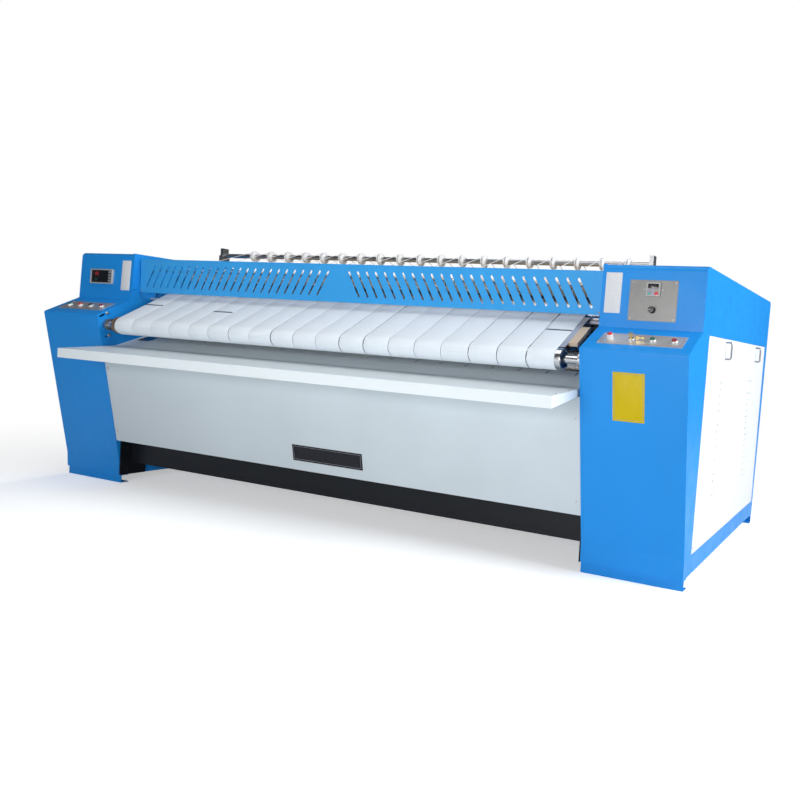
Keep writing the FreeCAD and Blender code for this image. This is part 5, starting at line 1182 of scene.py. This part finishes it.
# ------------------------------------------------------------------ stage
LAMPS = (
    # name, place, width, power in watts
    ("side_lamp", (6.0, -0.4, 3.0), 2.4, 300),
    ("front_lamp", (0.9, -5.2, 1.05), 2.0, 122),
    ("top_lamp", (0.3, -1.6, 4.8), 3.0, 66),
    ("rear_lamp", (-2.4, 5.6, 3.0), 3.0, 210),
)
LAMP_TARGET = (0.0, -0.6, 0.7)
# solved from the photograph's straight, level and upright edges
CAMERA_MATRIX = ((0.92938243, -0.07929146, 0.36050128, 2.713389),
                 (0.36228544, 0.00889908, -0.93202471, -3.466831),
                 (0.07069347, 0.99681175, 0.03699679, 0.969522),
                 (0, 0, 0, 1))


class IRONER_OT_stage(bpy.types.Operator):
    """Set the pale floor, the soft lamps and the camera"""

    bl_idname = "ironer.stage"
    bl_label = "Stage"

    def execute(self, context):
        scene = context.scene
        edge = np.linspace(-30, 30, 3)
        grid = np.stack(np.broadcast_arrays(edge[:, None], edge[None, :], 0.0), axis=-1)
        floor = bpy.data.objects.new("floor", surface(grid))
        scene.collection.objects.link(floor)
        floor.data.materials.append(studio_floor())

        world = bpy.data.worlds.new("studio")
        world.use_nodes = True
        tree = world.node_tree
        soft = tree.nodes["Background"]
        soft.inputs["Color"].default_value = (0.90, 0.95, 1.0, 1)
        soft.inputs["Strength"].default_value = 0.09
        seen = tree.nodes.new("ShaderNodeBackground")
        seen.inputs["Color"].default_value = (1, 1, 1, 1)
        rays = tree.nodes.new("ShaderNodeLightPath")
        both = tree.nodes.new("ShaderNodeMixShader")
        tree.links.new(rays.outputs["Is Camera Ray"], both.inputs[0])
        tree.links.new(soft.outputs[0], both.inputs[1])
        tree.links.new(seen.outputs[0], both.inputs[2])
        tree.links.new(both.outputs[0], tree.nodes["World Output"].inputs[0])
        scene.world = world

        for name, place, width, power in LAMPS:
            data = bpy.data.lights.new(name, "AREA")
            data.size = width
            data.energy = power * sizes().lamp_level
            lamp = bpy.data.objects.new(name, data)
            lamp.matrix_world = look_along(place, np.array(LAMP_TARGET) - place)
            scene.collection.objects.link(lamp)

        camera_data = bpy.data.cameras.new("camera")
        camera_data.sensor_width = 36.0
        camera_data.lens = 31.845
        camera_data.shift_x = -0.2725
        camera_data.shift_y = -0.0244
        camera_data.clip_end = 100
        camera = bpy.data.objects.new("camera", camera_data)
        camera.matrix_world = Matrix(CAMERA_MATRIX)
        scene.collection.objects.link(camera)
        scene.camera = camera
        scene.view_settings.view_transform = "Standard"
        return {"FINISHED"}


def studio_floor():
    """Pale floor that fades to the white of the room for the camera alone.

    fade = smoothstep(1.9 m, 4.6 m) of the distance from the middle of the machine. Near the machine
    the camera sees a little light added to the floor, which keeps its shadow.
    """
    s = Shader("studio_floor")
    shade = s.noise(s.object_space(), 3.0, 3)
    near = s.add("ShaderNodeBsdfDiffuse",
                 {"Color": s.mix(shade, (0.88, 0.885, 0.89, 1), (0.90, 0.905, 0.91, 1))})
    far = s.add("ShaderNodeEmission", {"Color": (1, 1, 1, 1), "Strength": 1.0})
    lift = s.add("ShaderNodeEmission", {"Color": (1, 1, 1, 1), "Strength": 0.45})
    reach = s.add("ShaderNodeVectorMath", {0: s.coords.outputs["Object"]}, operation="LENGTH")
    fade = s.add("ShaderNodeMapRange", {"Value": reach.outputs["Value"], "From Min": 1.9,
                                        "From Max": 4.6}, interpolation_type="SMOOTHSTEP").outputs[0]
    rays = s.add("ShaderNodeLightPath")
    seen = rays.outputs["Is Camera Ray"]
    lifted = s.add("ShaderNodeAddShader", {0: near.outputs[0], 1: lift.outputs[0]})
    close = s.add("ShaderNodeMixShader", {0: seen, 1: near.outputs[0], 2: lifted.outputs[0]})
    both = s.add("ShaderNodeMixShader", {0: s.maths("MULTIPLY", fade, seen), 1: close.outputs[0],
                                         2: far.outputs[0]})
    s.tree.links.new(both.outputs[0], s.output.inputs[0])
    return s.material


def look_along(place, aim):
    """Matrix of a lamp at a place, with its -Z axis along the aim and its X axis level."""
    back = -np.asarray(aim, float) / np.linalg.norm(aim)
    right = np.cross([0, 0, 1], back)
    right /= np.linalg.norm(right)
    matrix = np.identity(4)
    matrix[:3] = np.column_stack([right, np.cross(back, right), back, place])
    return Matrix(matrix.tolist())


# ------------------------------------------------------------------ add-on
class IRONER_PT_panel(bpy.types.Panel):
    """Sidebar panel that lists every step"""

    bl_idname = "IRONER_PT_panel"
    bl_label = "Flatwork ironer"
    bl_space_type = "VIEW_3D"
    bl_region_type = "UI"
    bl_category = "Ironer"

    def draw(self, context):
        layout = self.layout
        for group in (context.scene.ironer_finishes, context.scene.ironer_sizes):
            for name in group.__annotations__:
                layout.prop(group, name)
        for operator in OPERATORS:
            layout.operator(operator.bl_idname)


OPERATORS = (
    IRONER_OT_finishes, IRONER_OT_feed_belts, IRONER_OT_belt_lacing, IRONER_OT_ironing_belts,
    IRONER_OT_guide_cords, IRONER_OT_roller_ends, IRONER_OT_push_buttons, IRONER_OT_bezels,
    IRONER_OT_console_trim, IRONER_OT_keypad, IRONER_OT_temperature_controller,
    IRONER_OT_speed_knob, IRONER_OT_plates, IRONER_OT_screws, IRONER_OT_stage,
)
CLASSES = (IronerFinishes, IronerSizes) + OPERATORS + (IRONER_PT_panel,)


def register():
    for cls in CLASSES:
        bpy.utils.register_class(cls)
    bpy.types.Scene.ironer_finishes = bpy.props.PointerProperty(type=IronerFinishes)
    bpy.types.Scene.ironer_sizes = bpy.props.PointerProperty(type=IronerSizes)


def unregister():
    del bpy.types.Scene.ironer_sizes
    del bpy.types.Scene.ironer_finishes
    for cls in reversed(CLASSES):
        bpy.utils.unregister_class(cls)


def main():
    register()
    for operator in OPERATORS:
        group, name = operator.bl_idname.split(".")
        getattr(getattr(bpy.ops, group), name)()


if __name__ == "__main__":
    main()
